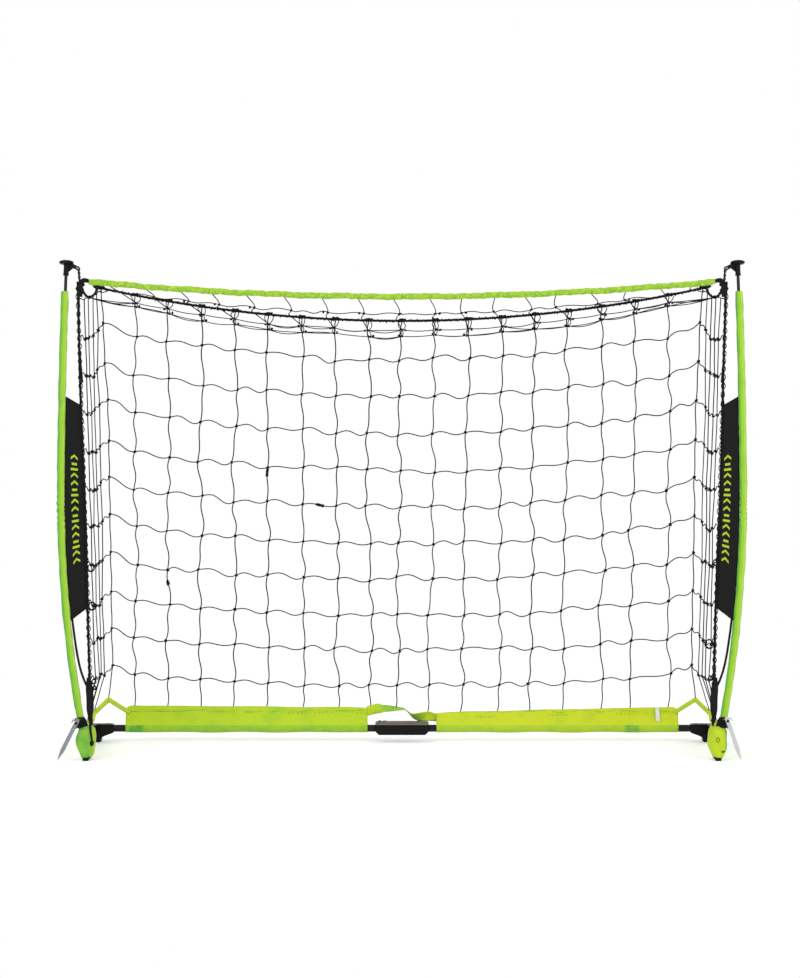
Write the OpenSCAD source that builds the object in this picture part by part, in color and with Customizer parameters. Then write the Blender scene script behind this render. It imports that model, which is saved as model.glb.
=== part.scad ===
// Portable pop-up football goal: a folding steel ground frame, two bowed fibreglass
// poles in fabric sleeves, a slung crossbar and a wedge-shaped knotted net.
// X runs across the mouth, -Y points out of the mouth, +Z is up, millimetres.
// Paired pieces are drawn for the +X side and mirrored for the -X side.

/* [Goal] */
// Width across the outer faces of the two bowed sleeves
goal_w = 1830; // [1600:10:2100]
// Clear height under the middle of the crossbar
clear_h = 1220; // [1100:10:1400]
// Distance from the rear bar's axis forward to the pole feet
base_depth = 450; // [400:10:600]
// Lean of the poles towards the rear, in degrees
pole_lean = 4; // [2:0.5:6]
// Height of the cap tops above the clear height
cap_rise = 106; // [95:1:130]

/* [Bowed poles] */
// Diameter of the fibreglass pole
pole_d = 8.5; // [7:0.5:10]
// Height at which the poles stand widest apart
bow_z = 740; // [640:10:800]
// Radius of the pole's curve above its widest point
upper_bow_r = 20000; // [12000:500:30000]
// Radius of the pole's curve below its widest point
lower_bow_r = 3450; // [3000:50:4500]
// Outer diameter of the joint ferrule between the two pole sections
ferrule_d = 11.5; // [11:0.5:13]
// Length of the joint ferrule
ferrule_l = 80; // [50:5:120]
// Outer diameter of the fabric sleeve
sleeve_d = 19; // [17:0.5:22]
// Thickness of the sleeve's fabric with its hem
sleeve_wall = 1.8; // [1:0.1:2]
// Length of bare pole between the sleeve and the cap
bare_pole = 43; // [20:1:60]

/* [Pole caps] */
// Diameter of the cap's round head
cap_head_d = 40; // [34:1:44]
// Height of the cap's domed head
cap_head_h = 11; // [9:1:14]
// Outer diameter of the cap's socket tube
cap_tube_d = 14; // [12:0.5:16]
// Length of the cap's socket tube
cap_tube_l = 30; // [24:1:40]
// Reach of the cap's arm from the pole to its rivet
cap_arm = 31; // [27:1:36]
// Diameter of the rivet in the cap's arm
rivet_d = 6; // [4:0.5:7]

/* [Ground frame] */
// Outer diameter of the steel tubes
tube_d = 20; // [19:0.5:22]
// Wall of the steel tubes
tube_wall = 1.5; // [1:0.1:2]
// Height of the tube axes above the ground
bar_z = 38; // [36:1:42]
// Distance of each corner pivot inside the goal's outer width
corner_in = 45; // [30:1:55]
// Distance of the corner pivot in front of the rear bar's axis
pivot_ahead = 45; // [42:1:55]
// Diameter of the pivot pins
pin_d = 8; // [6:0.5:9]
// Diameter of the pivot pin heads
pin_head_d = 14; // [12:0.5:16]
// Height of the pivot pin heads
pin_head_h = 2.5; // [2:0.5:4]

/* [Folding hub] */
// Width of the hub
hub_w = 150; // [140:2:170]
// Height of the hub from its floor to its cover
hub_h = 36; // [34:1:40]
// Distance of each hub pin from the middle
hub_pin_x = 49; // [44:1:52]
// Reach of the hub in front of the bar's axis
hub_front = 24; // [22:1:30]
// Reach of the hub behind the bar's axis
hub_back = 22; // [20:1:28]
// Thickness of the tongues that turn on the hub pins
tongue_t = 22; // [18:1:24]
// Radius of the tongues' round ends
tongue_r = 12; // [10:0.5:13]
// Diameter of the fold lock's button
button_d = 8; // [6:0.5:9]
// Travel of the fold lock's button
button_travel = 1.8; // [1:0.1:2.2]

/* [Corner brackets] */
// Width of the bracket's body along Y
bracket_d = 34; // [30:1:40]
// Reach of the bracket from the corner pivot towards the middle
bracket_in = 57; // [50:1:70]
// Reach of the bracket outboard of the corner pivot
bracket_out = 18; // [16:1:24]
// Length of the bracket's foot on the ground
bracket_foot = 41; // [30:1:44]
// Radius of the clevis ends round the corner pin
clevis_r = 14; // [12:0.5:16]
// Thickness of the side tube's tongue in the clevis
side_tongue_t = 14; // [11:0.5:16]

/* [Front feet] */
// Outer diameter of the pole socket
socket_d = 22; // [20:0.5:25]
// Height of the socket's top edge
socket_top = 112; // [106:1:125]
// Reach of the foot and its boot in front of the pole axis
foot_front = 24; // [22:1:30]
// Width of the foot's pad on the ground
foot_pad_w = 16; // [12:1:20]

/* [Fabric] */
// Top edge of the ground skirts
skirt_top = 102; // [92:1:110]
// Bottom edge of the ground skirts
skirt_bottom = 24; // [20:1:25]
// Distance of the ground skirts' inner ends from the middle
skirt_in = 97; // [90:1:110]
// Distance of the ground skirts' outer ends from the corner pivots
skirt_end = 92; // [85:1:110]
// Thickness of the doubled skirt fabric
skirt_t = 3; // [2:0.5:4]
// Width of the boots over the front feet
boot_w = 50; // [48:1:54]
// Top of the boots
boot_top = 90; // [86:1:94]
// Height of the corner strap's peak
strap_peak = 130; // [120:1:140]
// Width of the corner strap
strap_w = 12; // [8:1:16]
// Lower end of the side gussets
gusset_low = 367; // [300:5:450]
// Upper end of the side gussets
gusset_high = 964; // [850:5:1050]
// Thickness of the gusset fabric
gusset_t = 1.5; // [1:0.1:2]

/* [Crossbar and ropes] */
// Outer diameter of the crossbar's sleeve
crossbar_d = 17; // [14:0.5:20]
// Sag of the crossbar from its ends to the middle
crossbar_sag = 40; // [25:1:60]
// Distance of the crossbar sleeve's ends from the poles' lines
crossbar_end = 62.4; // [58:0.2:75]
// Diameter of the rear top rope
rope_d = 9; // [7:0.5:12]
// Sag of the rear top rope
rope_sag = 92; // [70:1:110]
// Distance of the top rope's ends inside the crossbar sleeve's ends
rope_end = 11; // [8:1:20]
// Drop of the rope's middle below the crossbar's middle
rope_drop = 58; // [45:1:75]
// Distance of the rope's middle behind the pole feet
rope_back = 200; // [190:5:230]
// Diameter of the edge ropes beside the poles
edge_rope_d = 7; // [5:0.5:8]

/* [Net] */
// Width of a net mesh
mesh_w = 93; // [86:1:93]
// Height of a net mesh
mesh_h = 104; // [90:1:112]
// Height of the lowest row of knots above the skirt
first_row = 92; // [70:1:110]
// Least distance of the net's outer columns from the corner pivots
net_end = 30; // [28:1:60]
// Diameter of the net twine
twine_d = 3; // [2:0.2:4]

/* [Stakes] */
// Length of a ground stake from its eye to its tip
stake_l = 112; // [108:1:140]
// Width of the stake's blade
stake_w = 11; // [9:0.5:14]
// Thickness of the stake's steel
stake_t = 2.5; // [2:0.5:3]
// Height of the left stake's eye
left_stake_z = 101; // [98:1:108]
// Height of the right stake's eye
right_stake_z = 107; // [98:1:108]

/* [Hidden] */
$fn = 48;

running = 0.05;      // radial clearance of pins, plugs and poles in their holes
gap = 0.3;           // clearance between pieces that lie against each other
lime = "#B5D430";
black = "#1A1A1C";

tube_r = tube_d / 2;
pin_r = pin_d / 2;

corner_x = goal_w / 2 - corner_in;
skirt_out = corner_x - skirt_end;
side_columns = floor((corner_x - net_end) / mesh_w);

// The origin is midway between the foremost and the rearmost point.
stake_room = gap + stake_t + 1;
y_bar = (base_depth + foot_front + stake_room - max(hub_back, bracket_d / 2)) / 2;
y_front = y_bar - base_depth;
pivot_y = y_bar - pivot_ahead;

// Poles: two arcs that meet at the widest point, in a plane that leans back.
pole_half = goal_w / 2 - sleeve_d / 2;
function bow_r(u) = u > bow_z ? upper_bow_r : lower_bow_r;
function pole_x(u) = pole_half - bow_r(u) + sqrt(pow(bow_r(u), 2) - pow(u - bow_z, 2));
function pole_tilt(u) = asin((u - bow_z) / bow_r(u));
cap_u = (clear_h + cap_rise) / cos(pole_lean);
pole_top_u = cap_u - cap_head_h + 1;
sleeve_top_u = cap_u - cap_head_h - cap_tube_l - bare_pole;
socket_u = socket_top / cos(pole_lean);
pole_foot_u = bar_z + 2;
foot_x = pole_x(bar_z);

// Crossbar, in the poles' plane
crossbar_u = (clear_h + crossbar_d / 2) / cos(pole_lean);
crossbar_end_u = crossbar_u + crossbar_sag;
crossbar_half = pole_x(crossbar_end_u) - crossbar_end;
crossbar_r = (pow(crossbar_half, 2) + pow(crossbar_sag, 2)) / (2 * crossbar_sag);
function crossbar_at(x) = crossbar_u + crossbar_r - sqrt(pow(crossbar_r, 2) - x * x);
function leaned_point(p) = [p[0], y_front + p[1] * cos(pole_lean) + p[2] * sin(pole_lean),
  p[2] * cos(pole_lean) - p[1] * sin(pole_lean)];

// Rear top rope and back net, in one plane that leans forward from the skirts
rope_z = clear_h + crossbar_d / 2 - rope_drop;
net_lean = atan((base_depth - rope_back) / (rope_z - skirt_top));
rope_s = (rope_z - skirt_top) / cos(net_lean);
rope_half = crossbar_half - rope_end;
rope_r = (pow(rope_half, 2) + pow(rope_sag, 2)) / (2 * rope_sag);
function rope_at(x) = rope_s + rope_r - sqrt(pow(rope_r, 2) - x * x);
function net_point(x, s) = [x, y_bar - s * sin(net_lean), skirt_top + s * cos(net_lean)];
net_half = side_columns * mesh_w + twine_d / 2;
peak_x = side_columns * mesh_w;
peak_s = (strap_peak - skirt_top) / cos(net_lean) + gap;

// Edge ropes beside the poles, in the poles' plane
rope_top_x = pole_x(crossbar_end_u) - cap_arm;
rope_top_u = crossbar_end_u;
rope_foot_x = foot_x - boot_w / 2 + edge_rope_d / 2 + 7;
rope_foot_u = (boot_top + gap) / cos(pole_lean) + 1;
function edge_x(u) = rope_foot_x
  + (rope_top_x - rope_foot_x) * (u - rope_foot_u) / (rope_top_u - rope_foot_u);

// Side tubes run from the corner pivots to the front feet and toe in.
toe = atan((corner_x - foot_x) / (pivot_y - y_front));
side_l = norm([corner_x - foot_x, pivot_y - y_front]);
socket_back = 15;    // from the pole axis back to the side tube's end

// Heights in the hub
tongue_low = bar_z - tongue_t / 2;
tongue_high = bar_z + tongue_t / 2;
hub_low = bar_z - hub_h / 2 + 1;
hub_high = hub_low + hub_h;
button_x = -(hub_pin_x + 14);
button_well = button_travel + 3;

// ---- Placing and basic shapes ----

module leaned() {
  translate([0, y_front, 0]) rotate([-pole_lean, 0, 0]) children();
}

// Puts children on the pole's centreline with +Z along it
module on_pole(u) {
  leaned() translate([pole_x(u), 0, u]) rotate([0, pole_tilt(u) * -1, 0]) children();
}

// Children stand in the back net's plane, with +Z up the slope
module net_plane() {
  translate([0, y_bar, skirt_top]) rotate([net_lean, 0, 0]) children();
}

// +Y points from the front foot back to the corner pivot, at the pivot
module side_frame() {
  translate([corner_x, pivot_y, 0]) rotate([0, 0, -toe]) children();
}

// An arc of round section in the XZ plane, round a centre, between two angles
module arc_rod(centre_x, centre_z, r, from, to, d, hole = 0) {
  translate([centre_x, 0, centre_z]) rotate([90, 0, 0]) rotate([0, 0, from])
    rotate_extrude(angle = to - from, $fn = 360) translate([r, 0]) difference() {
      circle(d = d, $fn = 32);
      if (hole > 0) circle(d = hole, $fn = 32);
    }
}

// A stretch of the bowed pole's line, in one of its two arcs
module pole_arc(u0, u1, d, hole = 0) {
  r = bow_r((u0 + u1) / 2);
  leaned() arc_rod(pole_half - r, bow_z, r, asin((u0 - bow_z) / r), asin((u1 - bow_z) / r),
    d, hole);
}

// A straight round rod between two points
module rod(p, q, d, sides = 16) {
  v = q - p;
  translate(p) rotate([0, acos(v[2] / norm(v)), atan2(v[1], v[0])])
    cylinder(d = d, h = norm(v), $fn = sides);
}

module tube_x(x0, x1, d) {
  translate([x0, y_bar, bar_z]) rotate([0, 90, 0]) cylinder(d = d, h = x1 - x0);
}

module tube_y(y0, y1, d) {
  translate([0, y0, bar_z]) rotate([-90, 0, 0]) cylinder(d = d, h = y1 - y0);
}

module rounded_plate(w, d, r, h) {
  linear_extrude(h) {
    square([w - 2 * r, d], center = true);
    square([w, d - 2 * r], center = true);
    for (sx = [-1, 1], sy = [-1, 1])
      translate([sx * (w / 2 - r), sy * (d / 2 - r)]) circle(r);
  }
}

// A thin line of twine in two dimensions
module twine_line(p, q, w) {
  n = [p[1] - q[1], q[0] - p[0]] * (w / 2 / norm(q - p));
  polygon([p + n, p - n, q - n, q + n]);
}

// Fabric folded round a tube, with both layers sewn together above it
module skirt_section(top) {
  r = bar_z - skirt_bottom;
  flank = r * 0.8;
  difference() {
    union() {
      circle(r);
      polygon([[-flank, r / 2], [-skirt_t / 2, r * 2], [-skirt_t / 2, top - bar_z],
        [skirt_t / 2, top - bar_z], [skirt_t / 2, r * 2], [flank, r / 2]]);
    }
    circle(tube_r + gap);
  }
}

// ---- Folding hub ----

hub_mid_y = (hub_back - hub_front) / 2;

module hub_outline(h) {
  translate([0, y_bar + hub_mid_y, 0]) rounded_plate(hub_w, hub_front + hub_back, 9, h);
}

// Narrower at the bottom, seen from the front
module hub_taper() {
  translate([0, y_bar + hub_front * 2, 0]) rotate([90, 0, 0]) linear_extrude(hub_front * 4)
    polygon([[-hub_w / 2 + 10, hub_low], [hub_w / 2 - 10, hub_low], [hub_w / 2, hub_low + 9],
      [hub_w / 2, hub_high], [-hub_w / 2, hub_high], [-hub_w / 2, hub_low + 9]]);
}

module hub_pin_places() {
  for (s = [-1, 1]) translate([s * hub_pin_x, y_bar, 0]) children();
}

module hub_housing() {
  floor_top = tongue_low - gap;
  web_x = hub_pin_x - tongue_r - 0.5;
  rib_h = tongue_high + gap - floor_top;
  color(black) difference() {
    intersection() {
      union() {
        translate([0, 0, hub_low]) hub_outline(floor_top - hub_low);
        intersection() {
          translate([0, 0, hub_low]) hub_outline(tongue_high + gap - hub_low);
          union() {
            translate([-hub_w / 2, y_bar - hub_front, floor_top])
              cube([hub_w, hub_front - tongue_r - 1, rib_h]);
            translate([-web_x, y_bar - hub_front, floor_top])
              cube([2 * web_x, hub_front + hub_back - 5, rib_h]);
          }
        }
      }
      hub_taper();
    }
    hub_pin_places() translate([0, 0, hub_low - 1]) cylinder(r = pin_r + running, h = hub_h);
    // lightening pockets, open to the rear
    for (s = [-1, 1])
      translate([s * web_x / 2 - web_x / 2 + 4, y_bar - 2, floor_top + 3])
        cube([web_x - 8, hub_back, rib_h - 6]);
  }
}

module hub_cover() {
  low = tongue_high + gap;
  color("#5A5049") difference() {
    union() {
      translate([0, 0, low]) hub_outline(hub_high - low - 2);
      translate([0, y_bar + hub_mid_y, hub_high - 2])
        rounded_plate(hub_w - 6, hub_front + hub_back - 6, 7, 2);
    }
    hub_pin_places() translate([0, 0, low - 1]) cylinder(r = pin_r + running, h = hub_h);
    translate([button_x, y_bar, hub_high - button_well])
      cylinder(d = button_d + 2 * running, h = button_well + 1);
    for (s = [-1, 1]) translate([s * (hub_w / 2 - 34), y_bar, hub_high - 1])
      translate([-s * 24, 0, 0]) rounded_plate(30, 24, 5, 2);
  }
}

module hub_pins() {
  color("#6B645C") hub_pin_places() {
    translate([0, 0, hub_low]) cylinder(r = pin_r, h = hub_h);
    translate([0, 0, hub_high]) cylinder(d = pin_head_d, h = pin_head_h - 0.8);
    translate([0, 0, hub_high + pin_head_h - 0.8])
      cylinder(d1 = pin_head_d, d2 = pin_head_d - 3, h = 0.8);
  }
}

module hub_lock_button() {
  color(black) translate([button_x, y_bar, hub_high - 3]) {
    cylinder(d = button_d, h = 5);
    translate([0, 0, 5]) cylinder(d1 = button_d, d2 = button_d - 2, h = 1);
  }
}

module hub_band() {
  color(lime) translate([-skirt_in + gap, y_bar - skirt_t / 2, skirt_top - gap - strap_w])
    cube([2 * (skirt_in - gap), skirt_t, strap_w]);
}

// ---- Rear bar and corner bracket ----

bar_start = hub_pin_x + 29;
bar_end = corner_x - 10;

module base_bar() {
  color("#202022") difference() {
    tube_x(bar_start, bar_end, tube_d);
    tube_x(bar_start - 1, bar_end + 1, tube_d - 2 * tube_wall);
  }
}

module hub_tongue() {
  plug_d = tube_d - 2 * tube_wall - 2 * running;
  color(black) difference() {
    union() {
      translate([hub_pin_x, y_bar, tongue_low]) cylinder(r = tongue_r, h = tongue_t);
      translate([hub_pin_x, y_bar - tube_r + 1, tongue_low + 2])
        cube([bar_start - hub_pin_x - 3, tube_d - 2, tongue_t - 4]);
      tube_x(bar_start - 5, bar_start, tube_d);
      tube_x(bar_start - 1, bar_start + 30, plug_d);
    }
    translate([hub_pin_x, y_bar, tongue_low - 1]) cylinder(r = pin_r + running, h = tongue_t + 2);
  }
}

bracket_top = bar_z + tube_r + 1.5;
clevis_low = bar_z - side_tongue_t / 2 - gap;
clevis_high = bar_z + side_tongue_t / 2 + gap;
clevis_t = 6;

module clevis_arm(z) {
  translate([corner_x, pivot_y, z]) linear_extrude(clevis_t) {
    circle(clevis_r);
    translate([-clevis_r, 0]) square([2 * clevis_r, pivot_ahead - bracket_d / 2 + 1]);
  }
}

module corner_bracket() {
  inner = corner_x - bracket_in;
  outer = corner_x + bracket_out;
  foot = outer - bracket_foot;
  color(black) difference() {
    union() {
      translate([0, y_bar + bracket_d / 2, 0]) rotate([90, 0, 0]) linear_extrude(bracket_d)
        polygon([[inner, bar_z - tube_r - 2], [inner, bracket_top], [outer, bracket_top],
          [outer, 3], [outer - 3, 0], [foot + 2, 0], [foot, 2], [foot - 1, 13],
          [foot - 14, bar_z - tube_r - 9]]);
      clevis_arm(clevis_high);
      clevis_arm(clevis_low - clevis_t);
      // rib that joins the clevis arms behind the tongue
      translate([corner_x - clevis_r, y_bar - bracket_d / 2 - 6, clevis_low - clevis_t])
        cube([2 * clevis_r, 7, clevis_high + clevis_t - (clevis_low - clevis_t)]);
    }
    tube_x(inner - 1, bar_end + 0.2, tube_d + 2 * running);
    translate([corner_x, pivot_y, 0]) cylinder(r = pin_r + running, h = 100);
    // hollow foot with a rib left at each end
    translate([foot + 6, y_bar - bracket_d / 2 + 4, 6])
      cube([bracket_foot - 12, bracket_d - 8, bar_z - tube_r - 12]);
    translate([foot + 10, y_bar - bracket_d / 2 - 1, 7])
      cube([bracket_foot - 20, 6, bar_z - tube_r - 14]);
  }
}

module bracket_plate() {
  w = bracket_in + bracket_out - 8;
  color("#6E665F") translate([corner_x + (bracket_out - bracket_in) / 2, y_bar, bracket_top]) {
    rounded_plate(w, bracket_d - 8, 4, 2);
    for (s = [-1, 1]) translate([s * w / 3, 0, 2]) cylinder(d1 = 9, d2 = 7, h = 1.4);
  }
}

module corner_pin() {
  color("#6B645C") translate([corner_x, pivot_y, clevis_low - clevis_t]) {
    cylinder(r = pin_r, h = clevis_high + clevis_t - (clevis_low - clevis_t));
    translate([0, 0, clevis_high + clevis_t - (clevis_low - clevis_t)])
      cylinder(d = pin_head_d, h = pin_head_h);
  }
}

module ground_skirt() {
  color(lime) translate([skirt_in, y_bar, bar_z]) rotate([90, 0, 90])
    linear_extrude(skirt_out - skirt_in) skirt_section(skirt_top);
}

// Strap that rises from the skirt's end to the net's lower corner and falls to the corner
module corner_strap() {
  t = strap_w / 2;
  start = skirt_out + gap;
  color(lime) translate([0, y_bar + skirt_t / 2, 0]) rotate([90, 0, 0]) linear_extrude(skirt_t)
    polygon([[start, skirt_top - 1], [peak_x, strap_peak], [corner_x, skirt_top - 6],
      [corner_x, skirt_top - 6 - t], [peak_x, strap_peak - strap_w],
      [start, skirt_top - 1 - strap_w]]);
}

// ---- Side tube and front foot ----

side_start = 30;     // from the corner pivot to the side tube's rear end

module side_tongue() {
  plug_d = tube_d - 2 * tube_wall - 2 * running;
  color(black) side_frame() difference() {
    union() {
      translate([0, 0, bar_z - side_tongue_t / 2]) {
        cylinder(r = clevis_r - 1, h = side_tongue_t);
        translate([-clevis_r + 5, -side_start + 4, 0])
          cube([2 * clevis_r - 10, side_start - 4, side_tongue_t]);
      }
      tube_y(-side_start, -side_start + 6, tube_d);
      tube_y(-side_start - 26, -side_start + 1, plug_d);
    }
    translate([0, 0, bar_z - side_tongue_t]) cylinder(r = pin_r + running, h = 2 * side_tongue_t);
  }
}

module side_tube() {
  color("#202022") side_frame() difference() {
    tube_y(-side_l + socket_back, -side_start, tube_d);
    tube_y(-side_l + socket_back - 1, -side_start + 1, tube_d - 2 * tube_wall);
  }
}

module front_foot() {
  color(black) difference() {
    union() {
      // socket for the pole
      pole_arc(pole_foot_u - 8, socket_u, socket_d);
      pole_arc(socket_u - 16, socket_u - 5, socket_d + 4);
      // socket for the side tube
      side_frame() tube_y(-side_l + 4, -side_l + 46, tube_d + 5);
      // narrow keel that stands on the ground
      translate([foot_x, y_front, 0]) rotate([90, 0, -toe]) translate([0, 0, -40])
        linear_extrude(40 + foot_front - 6)
          polygon([[-foot_pad_w / 2 + 2, 0], [foot_pad_w / 2 - 2, 0], [foot_pad_w / 2, 2],
            [foot_pad_w / 2, bar_z], [-foot_pad_w / 2, bar_z], [-foot_pad_w / 2, 2]]);
    }
    pole_arc(pole_foot_u - 0.2, socket_u + 1, pole_d + 2 * running);
    side_frame() tube_y(-side_l + socket_back - 0.2, -side_l + 60, tube_d + 2 * running);
  }
}

// Fabric along the side tube, with a boot over the front foot
module side_skirt() {
  boot_back = 52;
  wall = 2;
  w = boot_w / 2;
  color(lime) difference() {
    union() {
      side_frame() translate([0, -side_l + boot_back - wall, bar_z]) rotate([90, 0, 180])
        linear_extrude(side_l - boot_back - side_start - clevis_r + wall)
          skirt_section(skirt_top - 6);
      translate([foot_x, y_front + boot_back, 0]) rotate([90, 0, 0])
        linear_extrude(boot_back + foot_front) boot_section(w);
    }
    translate([foot_x, y_front + boot_back - wall, 0]) rotate([90, 0, 0])
      linear_extrude(boot_back + foot_front - 2 * wall) boot_section(w - wall, wall);
    pole_arc(pole_foot_u, socket_u, socket_d + 4 + 2 * gap);
    side_frame() tube_y(-side_l, -side_l + boot_back + 10, tube_d + 2 * gap);
    // open under the keel
    translate([foot_x, y_front, 0]) rotate([0, 0, -toe])
      translate([-foot_pad_w / 2 - 2, 4 - foot_front, -1])
        cube([foot_pad_w + 4, boot_back + foot_front - 10, 13]);
  }
}

module boot_section(w, inset = 0) {
  polygon([[-w + 2, boot_top - inset], [w - 2, boot_top - inset], [w, 45],
    [w * 0.62, 12 + inset], [w * 0.4, 4 + inset], [-w * 0.4, 4 + inset],
    [-w * 0.62, 12 + inset], [-w, 45]]);
}

// ---- Poles, sleeves and caps ----

module lower_pole() {
  color("#26262A") {
    pole_arc(pole_foot_u, bow_z - running, pole_d);
    // the ferrule is a straight tube, wide enough for the pole's slight bend
    leaned() translate([pole_half, 0, bow_z - ferrule_l / 2]) difference() {
      cylinder(d = ferrule_d, h = ferrule_l);
      translate([0, 0, -1]) cylinder(d = pole_d + 2 * gap, h = ferrule_l + 2);
    }
  }
}

module upper_pole() {
  color("#26262A") pole_arc(bow_z, pole_top_u, pole_d);
}

module pole_sleeve() {
  hole = sleeve_d - 2 * sleeve_wall;
  // cut in two lengths that meet at the widest point
  color(lime) {
    pole_arc(socket_u + gap, bow_z - running, sleeve_d, hole);
    pole_arc(bow_z + running, sleeve_top_u, sleeve_d, hole);
  }
}

// The cap's arm points inboard and slopes down to its rivet.
arm_drop = 14;
arm_t = 11;
arm_end_r = 6;

module cap_frame() {
  on_pole(cap_u) children();
}

module pole_cap() {
  slope = atan(arm_drop / cap_arm);
  reach = norm([cap_arm, arm_drop]);
  color(black) difference() {
    union() {
      cap_frame() {
        translate([0, 0, -cap_head_h]) rotate_extrude()
          polygon([[0, 0], [cap_head_d / 2 - 4, 0], [cap_head_d / 2, 4],
            [cap_head_d / 2 - 2, cap_head_h - 3], [cap_head_d / 2 - 8, cap_head_h - 0.7],
            [0, cap_head_h]]);
        translate([0, 0, -cap_head_h - cap_tube_l]) cylinder(d = cap_tube_d, h = cap_tube_l + 1);
        translate([0, 0, -cap_head_h - cap_tube_l]) cylinder(d = cap_tube_d + 1.6, h = 4);
        translate([0, arm_t / 2, -7]) rotate([90, 0, 0]) linear_extrude(arm_t)
          rotate(-90 - (90 - slope)) translate([0, -1]) {
            translate([0, -4]) square([reach, 10]);
            translate([reach, 1]) circle(arm_end_r);
          }
        // web under the arm
        translate([0, 2, -7]) rotate([90, 0, 0]) linear_extrude(4)
          polygon([[0, 0], [-cap_arm + 6, -arm_drop + 6], [-cap_tube_d / 2, -cap_tube_l + 6],
            [0, -cap_tube_l + 6]]);
      }
    }
    pole_arc(bow_z + ferrule_l, pole_top_u + 0.2, pole_d + 2 * running);
    cap_frame() rivet_place() rotate([90, 0, 0])
      cylinder(d = rivet_d + 2 * running, h = arm_t * 2, center = true);
  }
}

module rivet_place() {
  translate([-cap_arm, 0, -7 - arm_drop]) children();
}

module cap_rivet() {
  color("#B49A6C") cap_frame() rivet_place() rotate([90, 0, 0]) difference() {
    union() {
      cylinder(d = rivet_d, h = arm_t, center = true);
      for (s = [-1, 1]) translate([0, 0, s * (arm_t / 2 + 0.6)])
        cylinder(d = rivet_d + 3, h = 1.2, center = true);
    }
    cylinder(d = rivet_d - 3, h = arm_t * 2, center = true);
  }
}

rivet_u = cap_u - 7 - arm_drop;
rivet_x = pole_x(cap_u) - cap_arm;

module cap_cord() {
  from = [rivet_x - 2, 0, rivet_u - arm_end_r - 1.2];
  to = [rope_top_x - 3, 0, rope_top_u + edge_rope_d / 2 + 3.2];
  color(black) for (s = [-1, 1]) rod(leaned_point(from + [0, s * 2.2, 0]),
    leaned_point(to + [0, s * 2.2, 0]), 4, 12);
}

// ---- Gusset and edge rope ----

module gusset() {
  steps = 16;
  inset = sleeve_d / 2 + gap;
  slope = 22;
  function at(i) = gusset_low + (gusset_high - gusset_low) * i / steps;
  function inner(u) = edge_x(u) + edge_rope_d / 2 + gap;
  outline = concat(
    [for (i = [0 : steps]) [pole_x(at(i)) - inset, at(i)]],
    [[inner(gusset_high - slope), gusset_high - slope], [inner(gusset_low + slope), gusset_low + slope]]);
  color(black) leaned() rotate([90, 0, 0]) translate([0, 0, -gusset_t / 2])
    linear_extrude(gusset_t) polygon(outline);
}

module edge_rope() {
  color(black) rod(leaned_point([rope_foot_x, 0, rope_foot_u]),
    leaned_point([rope_top_x, 0, rope_top_u]), edge_rope_d);
}

// ---- Crossbar, top rope and corner webbing ----

module crossbar() {
  color(lime) leaned() arc_rod(0, crossbar_u + crossbar_r, crossbar_r, -90 + asin(gap / 2 / crossbar_r),
    -90 + asin(crossbar_half / crossbar_r), crossbar_d);
}

module top_rope() {
  color(black) net_plane() arc_rod(0, rope_s + rope_r, rope_r, -90 + asin(gap / 2 / rope_r),
    -90 + asin(rope_half / rope_r), rope_d);
}

// Plug from the crossbar's end to the edge rope, and the slack loop back to the top rope
module corner_web() {
  plug_d = 11;
  web_d = 8;
  from = leaned_point([crossbar_half + gap, 0, crossbar_at(crossbar_half)]);
  plug = leaned_point([rope_top_x - edge_rope_d / 2 - plug_d / 2 - 1, 0, crossbar_at(crossbar_half)]);
  back = net_point(rope_half + gap, rope_at(rope_half));
  low = [(plug[0] + back[0]) / 2, (plug[1] + back[1]) / 2, min(plug[2], back[2]) - 30];
  color(black) {
    rod(from, plug, plug_d);
    translate(plug) sphere(d = plug_d + 1);
    rod(plug, low, web_d);
    translate(low) sphere(d = web_d + 1);
    rod(low, back + [web_d / 2 + 0.5, 0, 0], web_d);
    translate(back + [web_d / 2 + 0.5, 0, 0]) sphere(d = web_d + 1);
  }
}

// ---- Net ----

row_count = floor((rope_s - first_row - rope_d) / mesh_h) + 1;
function row_s(j) = first_row + j * mesh_h;

module back_net() {
  steps = 12;
  top_edge = [for (i = [steps : -1 : 0])
    [net_half * i / steps, rope_at(min(net_half * i / steps, rope_half)) - rope_d / 2 - gap]];
  color(black) net_plane() rotate([90, 0, 0]) translate([0, 0, -twine_d / 2])
    linear_extrude(twine_d) intersection() {
      polygon(concat([[gap / 2, gap], [skirt_out, gap], [net_half - twine_d, peak_s],
        [net_half, peak_s]], top_edge));
      union() {
        translate([gap / 2, 0]) square([twine_d / 2, 2 * rope_s]);
        for (i = [1 : side_columns])
          translate([i * mesh_w - twine_d / 2, 0]) square([twine_d, 2 * rope_s]);
        for (j = [0 : row_count - 1])
          translate([gap / 2, row_s(j) - twine_d / 2]) square([net_half, twine_d]);
      }
    }
}

// The side net spans from the edge rope to the back net's outer column.
side_p0 = leaned_point([rope_foot_x, 0, rope_foot_u + 12]);
side_p1 = leaned_point([rope_top_x, 0, rope_top_u]);
side_q0 = net_point(net_half + gap + twine_d / 2, peak_s + 2);
side_e2 = (side_p1 - side_p0) / norm(side_p1 - side_p0);
side_n = cross(side_q0 - side_p0, side_e2);
side_e3 = side_n / norm(side_n);
side_e1 = cross(side_e2, side_e3);
function in_side(p) = [(p - side_p0) * side_e1, (p - side_p0) * side_e2];

module side_plane() {
  multmatrix([[side_e1[0], side_e2[0], side_e3[0], side_p0[0]],
    [side_e1[1], side_e2[1], side_e3[1], side_p0[1]],
    [side_e1[2], side_e2[2], side_e3[2], side_p0[2]], [0, 0, 0, 1]]) children();
}

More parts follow.
